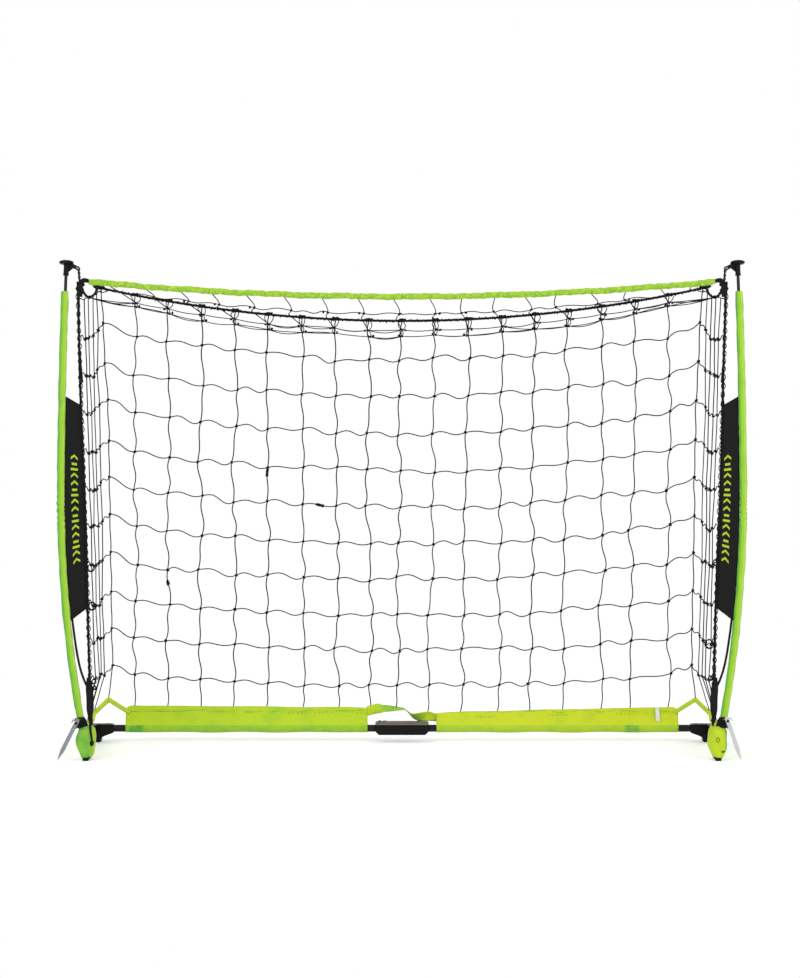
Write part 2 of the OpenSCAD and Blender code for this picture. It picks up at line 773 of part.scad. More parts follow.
module side_net() {
  q0 = in_side(side_q0);
  q1 = in_side(net_point(net_half, rope_s));
  front = edge_rope_d / 2 + gap + twine_d / 2;
  height = norm(side_p1 - side_p0) - 40;
  columns = floor(q0[0] / mesh_w);
  top_w = (q1[0] - front) * 0.8;
  function back_at(b) = q0[0] + (q1[0] - q0[0]) * (b - q0[1]) / (q1[1] - q0[1]) - twine_d;
  color(black) side_plane() translate([0, 0, -twine_d / 2]) linear_extrude(twine_d) {
    for (i = [0 : columns]) {
      foot = front + (back_at(q0[1]) - front) * i / columns;
      head = front + top_w * i / columns;
      twine_line([foot, i * q0[1] / columns], [head, height], twine_d);
    }
    for (j = [0 : row_count - 1]) {
      b = q0[1] + row_s(j) - peak_s;
      twine_line([front, b], [side_edge(b, back_at(q0[1]), q0[1], front + top_w, height), b], twine_d);
    }
  }
}

function side_edge(b, a0, b0, a1, b1) = a0 + (a1 - a0) * (b - b0) / (b1 - b0);

// Lines from the crossbar back to the top rope
module roof_net() {
  color(black) for (i = [1 : side_columns - 1]) {
    x = i * mesh_w - mesh_w / 2;
    from = leaned_point([x, 0, crossbar_at(x)]);
    to = net_point(x, rope_at(x));
    v = (to - from) / norm(to - from);
    rod(from + v * (crossbar_d / 2 + gap), to - v * (rope_d / 2 + gap), twine_d, 8);
  }
}

// ---- Stakes ----

stake_y = y_front - foot_front - gap - stake_t / 2;
stake_x = foot_x + boot_w / 2 - 3;
stake_eye_d = 5;

module stake(eye_z) {
  lean = acos((eye_z - 1) / stake_l);
  color("#8F9196") translate([stake_x, stake_y, eye_z]) rotate([0, -lean, 0])
    translate([0, stake_t / 2, 0]) rotate([90, 0, 0]) linear_extrude(stake_t) difference() {
      union() {
        polygon([[-stake_w / 2, 6], [-stake_w / 2, -stake_l + 30], [0, -stake_l],
          [stake_w / 2, -stake_l + 30], [stake_w / 2, 6]]);
        translate([0, 6]) circle(d = stake_w);
        // hook beside the eye
        translate([stake_w / 2 - 1, 2]) square([8, 4]);
        translate([stake_w / 2 + 4, -5]) square([3, 9]);
      }
      circle(d = stake_eye_d + 2 * running);
    }
}

module stake_tie(eye_z) {
  eye = [stake_x, stake_y, eye_z];
  back = [stake_x, y_front - socket_d / 2 + 4, eye_z];
  u = eye_z / cos(pole_lean);
  collar = leaned_point([pole_x(u) + socket_d / 2 + 2, -3, u]);
  color(black) {
    translate([stake_x, stake_y - stake_t / 2 - 1, eye_z]) rotate([-90, 0, 0])
      cylinder(d = stake_eye_d, h = back[1] - stake_y + stake_t / 2 + 1);
    translate(back) sphere(d = stake_eye_d);
    rod(back, collar + [1.5 + 2 * gap, 0, 0], 3, 12);
  }
}

module other_side() {
  mirror([1, 0, 0]) children();
}

// ---- Nodes ----

hub_housing();
hub_cover();
hub_pins();
hub_lock_button();
hub_band();

other_side() base_bar();  // left_base_bar
other_side() hub_tongue();  // left_hub_tongue
other_side() corner_bracket();  // left_corner_bracket
other_side() bracket_plate();  // left_bracket_plate
other_side() corner_pin();  // left_corner_pin
other_side() ground_skirt();  // left_ground_skirt
other_side() corner_strap();  // left_corner_strap
other_side() back_net();  // left_back_net
other_side() side_net();  // left_side_net
other_side() roof_net();  // left_roof_net
other_side() top_rope();  // left_top_rope
other_side() crossbar();  // left_crossbar
other_side() corner_web();  // left_corner_web
other_side() side_tongue();  // left_side_tongue
other_side() side_tube();  // left_side_tube
other_side() front_foot();  // left_front_foot
other_side() side_skirt();  // left_side_skirt
other_side() lower_pole();  // left_lower_pole
other_side() upper_pole();  // left_upper_pole
other_side() pole_sleeve();  // left_pole_sleeve
other_side() pole_cap();  // left_pole_cap
other_side() cap_rivet();  // left_cap_rivet
other_side() cap_cord();  // left_cap_cord
other_side() gusset();  // left_gusset
other_side() edge_rope();  // left_edge_rope
other_side() stake_tie(left_stake_z);  // left_stake_tie
other_side() stake(left_stake_z);  // left_stake

base_bar();  // right_base_bar
hub_tongue();  // right_hub_tongue
corner_bracket();  // right_corner_bracket
bracket_plate();  // right_bracket_plate
corner_pin();  // right_corner_pin
ground_skirt();  // right_ground_skirt
corner_strap();  // right_corner_strap
back_net();  // right_back_net
side_net();  // right_side_net
roof_net();  // right_roof_net
top_rope();  // right_top_rope
crossbar();  // right_crossbar
corner_web();  // right_corner_web
side_tongue();  // right_side_tongue
side_tube();  // right_side_tube
front_foot();  // right_front_foot
side_skirt();  // right_side_skirt
lower_pole();  // right_lower_pole
upper_pole();  // right_upper_pole
pole_sleeve();  // right_pole_sleeve
pole_cap();  // right_pole_cap
cap_rivet();  // right_cap_rivet
cap_cord();  // right_cap_cord
gusset();  // right_gusset
edge_rope();  // right_edge_rope
stake_tie(right_stake_z);  // right_stake_tie
stake(right_stake_z);  // right_stake
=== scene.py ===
import random
from itertools import accumulate
from math import copysign, cos, exp, hypot, pi, radians, sin, sqrt, tan

import bmesh
import bpy
from mathutils import Matrix, Vector


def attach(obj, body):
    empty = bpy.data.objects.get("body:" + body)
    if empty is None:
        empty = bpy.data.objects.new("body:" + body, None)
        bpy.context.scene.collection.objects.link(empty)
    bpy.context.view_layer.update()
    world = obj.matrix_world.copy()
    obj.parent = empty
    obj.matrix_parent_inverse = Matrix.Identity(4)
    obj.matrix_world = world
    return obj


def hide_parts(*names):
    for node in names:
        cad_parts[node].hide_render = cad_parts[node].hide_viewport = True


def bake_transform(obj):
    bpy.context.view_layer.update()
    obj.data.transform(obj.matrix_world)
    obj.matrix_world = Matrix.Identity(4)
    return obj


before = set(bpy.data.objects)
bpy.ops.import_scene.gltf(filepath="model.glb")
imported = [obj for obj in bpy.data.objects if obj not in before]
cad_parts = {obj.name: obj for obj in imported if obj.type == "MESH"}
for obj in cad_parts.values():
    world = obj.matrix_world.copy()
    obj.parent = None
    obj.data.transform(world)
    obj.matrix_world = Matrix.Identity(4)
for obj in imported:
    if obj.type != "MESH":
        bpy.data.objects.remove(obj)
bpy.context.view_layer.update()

scene = bpy.context.scene
scene.view_settings.view_transform = "Standard"

# camera, level, in front of the mouth

view = {
    "mouthY": -0.222,     # the plane of the feet and poles
    "distance": 6.5,
    "height": 0.76,
    "pixels": 978, "sensor": 36,   # the render's longer side, and the camera's sensor in millimetres
    "focal": 2466,        # in pixels
    "right": 2, "down": -17,   # how far the render's centre lies off the axis, in pixels
}


def linkObject(name, data):
    obj = bpy.data.objects.new(name, data)
    scene.collection.objects.link(obj)
    return obj


def makeCamera():
    data = bpy.data.cameras.new("goalCamera")
    data.sensor_width = view["sensor"]
    data.lens = view["focal"] * view["sensor"] / view["pixels"]
    data.shift_x = -view["right"] / view["pixels"]
    data.shift_y = view["down"] / view["pixels"]
    data.clip_end = 60
    cam = linkObject("goalCamera", data)
    cam.location = (0, view["mouthY"] - view["distance"], view["height"])
    cam.rotation_euler = (radians(90), 0, 0)
    scene.camera = cam


makeCamera()
print("camera ready")

# the goal's lines, in metres

goal = {
    "barY": 0.2279, "frontY": -0.2221, "lean": 4.0,
    "poleHalf": 0.9055, "bowAt": 0.74, "upperBow": 20.0, "lowerBow": 3.45,
    "skirtTop": 0.102, "netLean": 13.17,
    "crossbarLow": 1.2315, "crossbarBow": 8.756, "crossbarHalf": 0.836,
    "ropeLow": 1.0974, "ropeBow": 3.745, "ropeHalf": 0.825,
    "cornerX": 0.87, "pivotY": 0.1829,
}


def leaned(x, y, u):
    # a point of the pole's own plane, which leans back
    a = radians(goal["lean"])
    return Vector((x, goal["frontY"] + y * cos(a) + u * sin(a), u * cos(a) - y * sin(a)))


def onNet(x, s):
    # a point of the back net, s up its slope from the skirt
    a = radians(goal["netLean"])
    return Vector((x, goal["barY"] - s * sin(a), goal["skirtTop"] + s * cos(a)))


def poleX(u):
    r = goal["upperBow"] if u > goal["bowAt"] else goal["lowerBow"]
    return goal["poleHalf"] - r + sqrt(r * r - (u - goal["bowAt"]) ** 2)


def crossbarAt(x):
    r = goal["crossbarBow"]
    return goal["crossbarLow"] + r - sqrt(r * r - x * x)


def ropeAt(x):
    r = goal["ropeBow"]
    return goal["ropeLow"] + r - sqrt(r * r - x * x)


# studio

studio = {
    "floorColour": "#FFFFFF", "floorSize": 14,
    "floorGlow": 0.3,        # added for the camera alone, so that the lit floor is white and its shadow stays
    "floorEdge": (1.3, 2.8),  # over this distance from the goal the floor fades to plain white
    "keyEnergy": 120, "fillEnergy": 75, "worldStrength": 0.62,
}


def colour(hexCode):
    # an sRGB hex value as linear light
    parts = [int(hexCode[i:i + 2], 16) / 255 for i in (1, 3, 5)]
    return tuple(c / 12.92 if c <= 0.04045 else ((c + 0.055) / 1.055) ** 2.4 for c in parts) + (1.0,)


def addNode(tree, kind, inputs=None, **settings):
    # one node with its settings; an input is a value, a socket, or a node for its first output
    node = tree.nodes.new("ShaderNode" + kind)
    for name, value in settings.items():
        setattr(node, name, value)
    for name, value in (inputs or {}).items():
        if isinstance(value, bpy.types.Node):
            value = value.outputs[0]
        if isinstance(value, bpy.types.NodeSocket):
            tree.links.new(value, node.inputs[name])
        else:
            node.inputs[name].default_value = value
    return node


def maths(tree, operation, *values):
    return addNode(tree, "Math", dict(enumerate(values)), operation=operation)


def mapped(tree, value, start=0.0, end=1.0, low=0.0, high=1.0, **settings):
    return addNode(tree, "MapRange", {0: value, 1: start, 2: end, 3: low, 4: high}, **settings)


def newMaterial(name, paint=None, **fixed):
    # paint gives what is linked to the shader, from the Object and the UV coordinates
    mat = bpy.data.materials.new(name)
    mat.use_nodes = True
    tree = mat.node_tree
    tree.nodes.clear()
    inputs = {key.replace("_", " "): value for key, value in fixed.items()}
    if paint:
        place = addNode(tree, "TexCoord")
        inputs.update(paint(tree, place.outputs["Object"], place.outputs["UV"]))
    shader = addNode(tree, "BsdfPrincipled", inputs)
    addNode(tree, "OutputMaterial", {"Surface": shader})
    return mat


def linkMesh(name, bm, mat, smooth=True):
    for face in bm.faces:
        face.smooth = smooth
    mesh = bpy.data.meshes.new(name)
    bm.to_mesh(mesh)
    bm.free()
    mesh.materials.append(mat)
    return linkObject(name, mesh)


def makeStudio():
    world = bpy.data.worlds.new("studioWorld")
    scene.world = world
    world.use_nodes = True
    tree = world.node_tree
    tree.nodes.clear()
    path = addNode(tree, "LightPath").outputs
    mirrored = maths(tree, "MAXIMUM", path["Is Glossy Ray"], path["Is Transmission Ray"])
    seen = maths(tree, "MAXIMUM", path["Is Camera Ray"], mirrored)
    level = mapped(tree, seen, low=studio["worldStrength"])
    back = addNode(tree, "Background", {"Strength": level, "Color": (1, 1, 1, 1)})
    addNode(tree, "OutputWorld", {"Surface": back})

    bm = bmesh.new()
    bmesh.ops.create_grid(bm, x_segments=1, y_segments=1, size=studio["floorSize"])
    mat = newMaterial("paintedFloor", Base_Color=colour(studio["floorColour"]), Roughness=0.9)
    floor = linkMesh("studioFloor", bm, mat)
    tree = mat.node_tree
    place = addNode(tree, "TexCoord")
    away = addNode(tree, "VectorMath", {0: place.outputs["Object"]}, operation="LENGTH")
    fade = mapped(tree, away.outputs["Value"], *studio["floorEdge"], interpolation_type="SMOOTHSTEP")
    path = addNode(tree, "LightPath").outputs
    seen = maths(tree, "MAXIMUM", path["Is Camera Ray"], path["Is Glossy Ray"])
    glow = addNode(tree, "Emission", {"Strength": maths(tree, "MULTIPLY", seen, studio["floorGlow"])})
    lit = addNode(tree, "AddShader", {0: tree.nodes["Principled BSDF"], 1: glow})
    white = addNode(tree, "Emission", {"Strength": 1.0})
    both = addNode(tree, "MixShader", {0: maths(tree, "MULTIPLY", fade, seen), 1: lit, 2: white})
    tree.links.new(both.outputs[0], tree.nodes["Material Output"].inputs["Surface"])

    for name, place, size, energy in (("keyLamp", (-3.2, -4.5, 4.6), 3.0, studio["keyEnergy"]),
                                      ("fillLamp", (3.8, -3.6, 3.0), 3.5, studio["fillEnergy"])):
        lamp = bpy.data.lights.new(name, "AREA")
        lamp.size, lamp.energy = size, energy
        obj = linkObject(name, lamp)
        obj.location = place
        aim = Vector((0, 0, 0.6)) - Vector(place)
        obj.rotation_euler = aim.to_track_quat("-Z", "Y").to_euler()


makeStudio()
print("studio ready")

# finishes

def waves(pitch):
    # the Wave texture's scale for one band every pitch millimetres, on coordinates in metres
    return 2 * pi / 20 / (pitch / 1000)


def grains(size):
    # the Noise texture's scale for blotches of about this many millimetres
    return 1000 / size


# Solution-dyed polyester, plain woven and coated on the back: a soft sheen, threads that only
# just show, and a greener tone painted where shade falls: over the bar, in creases and on shaded sides.
limeCloth = {"main": "#C4DC2A", "deep": "#A8D030", "pale": "#D6EA4A", "thread": 1.6, "blotch": 70, "crease": 14,
             "sheen": 0.08}
# greener painted shade bands, and one painted highlight stripe: where each lies, as (coordinate, axis, from, to,
# softness) one or more times, and its colour
# painted shade on the skirts: greener where the bar lies inside the cloth, deeper near the outer end, and a thin line
# in the crease under the top edge
overBarShade = ("Object", 2, 0.02, 0.0475, 0.0012)
hemCreaseShade = ([("Wavy", 2, 0.095, 0.098, 0.0016)], "#7DB838", 0.0)
cloths = {
    "skirt": dict(limeCloth, main="#BEDA2B", deep="#9FCE36", shadeAndHighlightBands=[
        ([overBarShade], "#8FC63A"), ([overBarShade, ("Object", 0, 0.73, 0.7665, 0.004)], "#58AB3E"), hemCreaseShade]),
    "yellowSkirt": dict(limeCloth, main="#D2E02A", deep="#BCD832", shadeAndHighlightBands=[
        ([overBarShade], "#A9D038"), ([overBarShade, ("Object", 0, 0.628, 0.667, 0.006)], "#62B044"), hemCreaseShade]),
    # painted shade, greener, on the band's twisted part
    "band": dict(limeCloth, blotch=18, wearAndShadeMottle=(14, 0.35), shadeAndHighlightBands=[([("Object", 0, -0.01, 0.058, 0.012)], "#7CC23E")]),
    # painted shade down one side of each sleeve, and a pale painted highlight stripe near the other
    "sleeve": dict(limeCloth, main="#9ACF34", deep="#84C43A", blotch=40, shadeAndHighlightBands=[
        ([("UV", 0, 0.008, 0.025, 0.0045)], "#55B044"), ([("UV", 0, 0.035, 0.041, 0.002)], "#BCE05A")]),
    # painted shade band along the crossbar's underside
    "crossbar": dict(limeCloth, main="#B2D434", deep="#D2E23C", blotch=12, crease=9, wearAndShadeMottle=(9, 0.1), shadeAndHighlightBands=[
        ([("UV", 0, 0.017, 0.037, 0.005)], "#7FBE3A")]),
    # painted shade down the outer side of each boot, wider on the left boot
    "boot": dict(limeCloth, crease=16, shadeAndHighlightBands=[([("UV", 0, 0.076, 0.13, 0.006)], "#5DB546")]),
    "shadedBoot": dict(limeCloth, crease=16, main="#A9D236", shadeAndHighlightBands=[([("UV", 0, 0.03, 0.13, 0.012)], "#5DB546")]),
    "black": {"main": "#0B0B0D", "deep": "#060607", "pale": "#151517", "thread": 1.6, "blotch": 45, "crease": 12,
              "sheen": 0.02},
    "white": {"main": "#F1F1EE", "deep": "#DADAD6", "pale": "#FFFFFF", "thread": 1.2, "blotch": 30, "crease": 10,
              "sheen": 0.1},
}


def mixed(tree, amount, first, second):
    # two colours mixed, each a hex value or a socket
    ends = {6 + i: colour(c) if isinstance(c, str) else c for i, c in enumerate((first, second))}
    return addNode(tree, "Mix", {0: amount, **ends}, data_type="RGBA").outputs[2]


def noise(tree, place, size, detail=2.0, **more):
    return addNode(tree, "TexNoise", {"Vector": place, "Scale": grains(size), "Detail": detail, **more})


def ribs(tree, place, pitch, distortion, direction):
    inputs = {"Vector": place, "Scale": waves(pitch), "Distortion": distortion}
    return addNode(tree, "TexWave", inputs, bands_direction=direction).outputs[1]


def drawnOut(tree, place, share):
    # coordinates for a pattern drawn out along z
    return addNode(tree, "Mapping", {"Vector": place, "Scale": (1, 1, share)})


def bump(tree, height, strength, distance, **under):
    return addNode(tree, "Bump", {"Height": height, "Strength": strength, "Distance": distance, **under})


def wovenPolyester(name, look):
    def paint(tree, at, cut):
        patches = mapped(tree, noise(tree, at, look["blotch"], 3.0), 0.5, 0.78)
        tone = mixed(tree, patches, look["main"], look["deep"])
        wander = noise(tree, at, 55, 1.0).outputs["Color"]
        wavy = addNode(tree, "VectorMath", {0: wander, 1: (0.02, 0.02, 0.02), 2: at}, operation="MULTIPLY_ADD")
        sources = {"Object": at, "UV": cut, "Wavy": wavy}
        # noise of this grain breaks up each painted shade band, down to its least strength
        grain, least = look.get("wearAndShadeMottle", (26, 0.6))
        for limits, green, *own in look.get("shadeAndHighlightBands", []):
            amount = mapped(tree, noise(tree, at, grain, 3.0), 0.38, 0.6, own[0] if own else least)
            for source, axis, low, high, soft in limits:
                split = addNode(tree, "SeparateXYZ", {0: sources[source]})
                size = maths(tree, "ABSOLUTE", split.outputs[axis])
                above = mapped(tree, size, low - soft, low + soft)
                below = mapped(tree, size, high - soft, high + soft, 1.0, 0.0)
                amount = maths(tree, "MULTIPLY", maths(tree, "MULTIPLY", above, below), amount)
            tone = mixed(tree, amount, tone, green)
        threads = maths(tree, "MULTIPLY", *(ribs(tree, cut, look["thread"], 0.4, way) for way in "XY"))
        shade = mixed(tree, mapped(tree, threads, high=0.16), tone, look["pale"])
        folds = bump(tree, noise(tree, at, look["crease"], 4.0, Distortion=0.6), 0.5, 0.004)
        return {"Base Color": shade, "Normal": bump(tree, threads, 0.5, 0.0002, Normal=folds)}

    return newMaterial("wovenPolyester" + name[0].upper() + name[1:], paint, Roughness=0.72,
                       Sheen_Weight=look["sheen"], Sheen_Roughness=0.45, Specular_IOR_Level=0.2)


# Screen-printing ink on black cloth: matt, with the weave showing through.
def screenInk(name, main, worn):
    def paint(tree, at, cut):
        wearAndShadeMottle = noise(tree, at, 5, 5.0)
        return {"Base Color": mixed(tree, wearAndShadeMottle, main, worn), "Normal": bump(tree, wearAndShadeMottle, 0.3, 0.0002)}

    return newMaterial(name, paint, Roughness=0.72, Specular_IOR_Level=0.25)


# Woven webbing: thick ribs across its width, duller than the cloth.
def ribbedWebbing(name, main, pale, rib):
    def paint(tree, at, cut):
        raised = ribs(tree, cut, rib, 0.5, "X")
        worn = maths(tree, "MULTIPLY", raised, noise(tree, at, 20, 4.0))
        return {"Base Color": mixed(tree, worn, main, pale), "Normal": bump(tree, raised, 0.6, 0.0004)}

    return newMaterial(name, paint, Roughness=0.78, Sheen_Weight=0.04, Specular_IOR_Level=0.2)


# Twisted polyethylene twine and polypropylene rope: black filaments with a dry, slightly fuzzy shine.
def twistedFibre(name, main, pale, lay):
    def paint(tree, at, cut):
        turned = addNode(tree, "Mapping", {"Vector": at, "Rotation": (0.6, 0.6, 0.6)})
        strands = ribs(tree, turned, lay, 1.5, "DIAGONAL")
        return {"Base Color": mixed(tree, strands, main, pale), "Normal": bump(tree, strands, 0.5, 0.0003)}

    return newMaterial(name, paint, Roughness=0.75, Sheen_Weight=0.03, Specular_IOR_Level=0.15)


# Injection-moulded glass-filled nylon: spark-eroded grain, with faint flow blotches.
def mouldedNylon(name, main, pale, roughness):
    def paint(tree, at, cut):
        flow = noise(tree, at, 22, 5.0)
        return {"Base Color": mixed(tree, flow, main, pale),
                "Roughness": mapped(tree, flow, low=roughness - 0.1, high=roughness + 0.12),
                "Normal": bump(tree, noise(tree, at, 0.8), 0.35, 0.0002)}

    return newMaterial(name, paint, Specular_IOR_Level=0.13)


# Powder-coated steel tube: orange-peel skin, low gloss, small scuffs that dull it.
def powderCoat(name, main, scuff):
    def paint(tree, at, cut):
        worn = mapped(tree, noise(tree, at, 9, 8.0, Roughness=0.7), 0.58, 0.72)
        return {"Base Color": mixed(tree, worn, main, scuff), "Roughness": mapped(tree, worn, low=0.34, high=0.6),
                "Normal": bump(tree, noise(tree, at, 1.5), 0.3, 0.0003)}

    return newMaterial(name, paint, Coat_Weight=0.05, Coat_Roughness=0.25, Specular_IOR_Level=0.22)


# Bare or plated metal: zinc-plated pins, brass rivets and galvanised stakes.
def platedMetal(name, main, stain, roughness, drawn):
    def paint(tree, at, cut):
        film = noise(tree, at, 6, 5.0)
        lines = noise(tree, drawnOut(tree, at, 0.08), drawn, 3.0)
        return {"Base Color": mixed(tree, film, main, stain),
                "Roughness": mapped(tree, film, low=roughness - 0.08, high=roughness + 0.15),
                "Normal": bump(tree, lines, 0.2, 0.0001)}

    return newMaterial(name, paint, Metallic=1.0)


# Pultruded fibreglass: long glass rovings under smooth black resin.
def pultrudedGlass(name, main, pale):
    def paint(tree, at, cut):
        rovings = noise(tree, drawnOut(tree, at, 0.02), 1.2, 3.0)
        return {"Base Color": mixed(tree, rovings, main, pale)}

    return newMaterial(name, paint, Roughness=0.34, Coat_Weight=0.06, Coat_Roughness=0.15, Specular_IOR_Level=0.25)


finish = {key + "Polyester": wovenPolyester(key, look) for key, look in cloths.items()}
finish.update({
    "limeInk": screenInk("screenInkLime", "#B9D32B", "#A2BE2A"),
    "limeWebbing": ribbedWebbing("ribbedWebbingLime", "#B4D62C", "#D2E850", 2.2),
    "blackWebbing": ribbedWebbing("ribbedWebbingBlack", "#09090A", "#161618", 2.2),
    "netTwine": twistedFibre("twistedTwine", "#060607", "#101011", 3.0),
    "rope": twistedFibre("twistedRope", "#070708", "#151517", 5.0),
    "blackNylon": mouldedNylon("mouldedNylonBlack", "#09090A", "#111113", 0.42),
    # the hub cover's bronze tone is a painted highlight on the hub's lit top
    "paintedHighlightNylon": mouldedNylon("mouldedNylonPaintedHighlight", "#665C56", "#857A73", 0.4),
    "steelTube": powderCoat("powderCoatedSteel", "#09090B", "#1C1C1F"),
    "zinc": platedMetal("zincPlatedSteel", "#8E8A86", "#6A655F", 0.34, 0.5),
    "brass": platedMetal("brassPlate", "#8E8064", "#5E5340", 0.4, 0.4),
    "stakeGrey": platedMetal("galvanisedSteel", "#9AA0A2", "#74797C", 0.38, 0.9),
    "stakePale": platedMetal("brightGalvanisedSteel", "#D4D6D4", "#A9ACAA", 0.42, 0.9),
    "fibreglass": pultrudedGlass("pultrudedFibreglass", "#0A0A0C", "#17171A"),
})
print("finishes ready")

# pieces that keep their form from the frame

plainPieces = {
    "hub_housing": "blackNylon", "hub_cover": "paintedHighlightNylon", "hub_pins": "zinc", "hub_lock_button": "blackNylon",
    "base_bar": "steelTube", "hub_tongue": "blackNylon", "corner_bracket": "blackNylon", "bracket_plate": "zinc",
    "corner_pin": "zinc", "side_tongue": "blackNylon", "side_tube": "steelTube", "front_foot": "blackNylon",
    "lower_pole": "fibreglass", "upper_pole": "fibreglass", "pole_cap": "blackNylon", "cap_rivet": "brass",
    "left_stake": "stakeGrey", "right_stake": "stakePale",
}

for nodeName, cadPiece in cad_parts.items():
    key = nodeName if nodeName in plainPieces else nodeName.split("_", 1)[1]
    if key in plainPieces:
        cadPiece.data.materials.clear()
        cadPiece.data.materials.append(finish[plainPieces[key]])
print("frame pieces finished")

# makers for cloth and cord

sides = {"left": -1, "right": 1}
halves = [(side, part) for side in sides for part in ("inner", "outer")]


def ripple(x, z, seed=0.0):
    # a slow wave with no repeat, from -1 to 1
    return (sin(11.3 * x + 3.1 * z + seed) + sin(23.7 * x - 17.0 * z + 2.3 * seed)
            + 0.6 * sin(61.0 * x + 41.0 * z + 5.1 * seed)) / 2.6


def clothStrip(name, mat, place, width, length, across, along, closed=False, thick=0.0006):
    # a flat cut of cloth, width by length, laid by place(u, v) with u across and v along it
    bm = bmesh.new()
    bmesh.ops.create_grid(bm, x_segments=across, y_segments=along, size=0.5)
    layer = bm.loops.layers.uv.new("UVMap")
    for face in bm.faces:
        for loop in face.loops:
            loop[layer].uv = ((loop.vert.co.x + 0.5) * width, (loop.vert.co.y + 0.5) * length)
    for vert in bm.verts:
        vert.co = place(vert.co.x + 0.5, vert.co.y + 0.5)
    if closed:
        bmesh.ops.remove_doubles(bm, verts=bm.verts, dist=0.00002)
    bmesh.ops.recalc_face_normals(bm, faces=bm.faces)
    bmesh.ops.solidify(bm, geom=bm.faces[:], thickness=thick)
    return linkMesh(name, bm, mat)


def ringPoint(centre, ahead, side, angle, radius):
    # a point on the ring round a path: side is the path plane's normal, ahead its direction
    up = ahead.cross(side).normalized()
    return centre + side * (radius * cos(angle)) + up * (radius * sin(angle))


def smoothLine(points, steps):
    # a rounder line through the points, with steps pieces in each span
    out = []
    last = len(points) - 1
    for i in range(last):
        p0, p1, p2, p3 = points[max(i - 1, 0)], points[i], points[i + 1], points[min(i + 2, last)]
        for k in range(steps):
            t = k / steps
            out.append(0.5 * (2 * p1 + (p2 - p0) * t + (2 * p0 - 5 * p1 + 4 * p2 - p3) * t * t
                              + (3 * p1 - p0 - 3 * p2 + p3) * t ** 3))
    return out + [points[-1].copy()]


def cordMesh(name, mat, lines, diameter, corners=6):
    # round twine along each line, as one mesh
    data = bpy.data.curves.new(name, "CURVE")
    data.dimensions = "3D"
    data.bevel_depth = diameter / 2
    data.bevel_resolution = (corners - 4) // 2
    data.use_fill_caps = True
    for line in lines:
        spline = data.splines.new("POLY")
        spline.points.add(len(line) - 1)
        for point, place in zip(spline.points, line):
            point.co = (*place, 1)
    draft = linkObject(name + "Draft", data)
    bpy.context.view_layer.update()
    mesh = bpy.data.meshes.new_from_object(draft.evaluated_get(bpy.context.evaluated_depsgraph_get()))
    bpy.data.objects.remove(draft)
    mesh.name = name
    mesh.materials.clear()
    mesh.materials.append(mat)
    return linkObject(name, mesh)


def strandsRound(line, offset, pitch, count=3, start=0.0):
    # count strands twisted round the line, one turn every pitch
    out = [[] for _ in range(count)]
    run = start
    for i, point in enumerate(line):
        ahead = (line[min(i + 1, len(line) - 1)] - line[max(i - 1, 0)]).normalized()
        side = ahead.cross(Vector((0.13, 0.95, 0.28))).normalized()
        up = ahead.cross(side)
        if i:
            run += (point - line[i - 1]).length
        for k in range(count):
            a = 2 * pi * (run / pitch + k / count)
            out[k].append(point + side * (offset * cos(a)) + up * (offset * sin(a)))
    return out


def knotLumps(name, places, size, seed):
    # small bound knots, one lumpy ball at each place
    rng = random.Random(seed)
    bm = bmesh.new()
    for place in places:
        stretch = Matrix.Diagonal((rng.uniform(0.9, 1.3), rng.uniform(0.8, 1.1), rng.uniform(1.0, 1.5), 1))
        turn = Matrix.Rotation(rng.uniform(0, 3.1), 4, "Y")
        bmesh.ops.create_icosphere(bm, subdivisions=1, radius=size, matrix=Matrix.Translation(place) @ turn @ stretch)
    return linkMesh(name, bm, finish["netTwine"])


def spanAt(runs, distance):
    # the span that a distance falls in, where runs are the ways to a line's points, and the share of it that is passed
    i = max(j for j, run in enumerate(runs[:-1]) if run <= distance + 1e-9)
    return i, (distance - runs[i]) / (runs[i + 1] - runs[i])


def even(start, end, step):
    # evenly spaced values with both ends, about step apart
    count = max(2, round(abs(end - start) / step))
    return [start + (end - start) * i / count for i in range(count + 1)]


def ringAngles(count):
    return [2 * pi * i / count for i in range(count + 1)]


def onSide(k, points):
    # points given for the right side, on the side that k tells
    return [Vector((k * x, y, z)) for x, y, z in points]


def bend(obj, side, part):
    # every part, inner or outer, only has its transform baked into its mesh
    if part == "inner":
        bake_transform(obj)
    elif part == "outer":
        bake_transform(obj)
    elif part == "crossbar":
        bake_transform(obj)
    elif part == "flank":
        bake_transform(obj)
    elif part == "corner":
        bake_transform(obj)


def twineWork(side, part, names, lines, twine, places, knot, seed, node=None, turns=None):
    # lines of twine and the knots in them, each with its transform baked
    pieces = [cordMesh(side + names[0] + part.title(), finish["netTwine"], lines, twine),
              knotLumps(side + names[1] + part.title(), places, knot, seed)]
    if node:
        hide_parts(side + node)
    for obj in pieces:
        bend(obj, side, turns or part)


# lime sleeves over the poles

poleSleeve = {"low": 0.1125, "high": 1.2452, "girth": 0.06, "radius": 0.009, "seam": 0.0024,
              "wrinkle": 0.0006, "rings": 260, "ferruleAt": 0.66, "bunch": 0.0015, "bunchReach": 0.05}


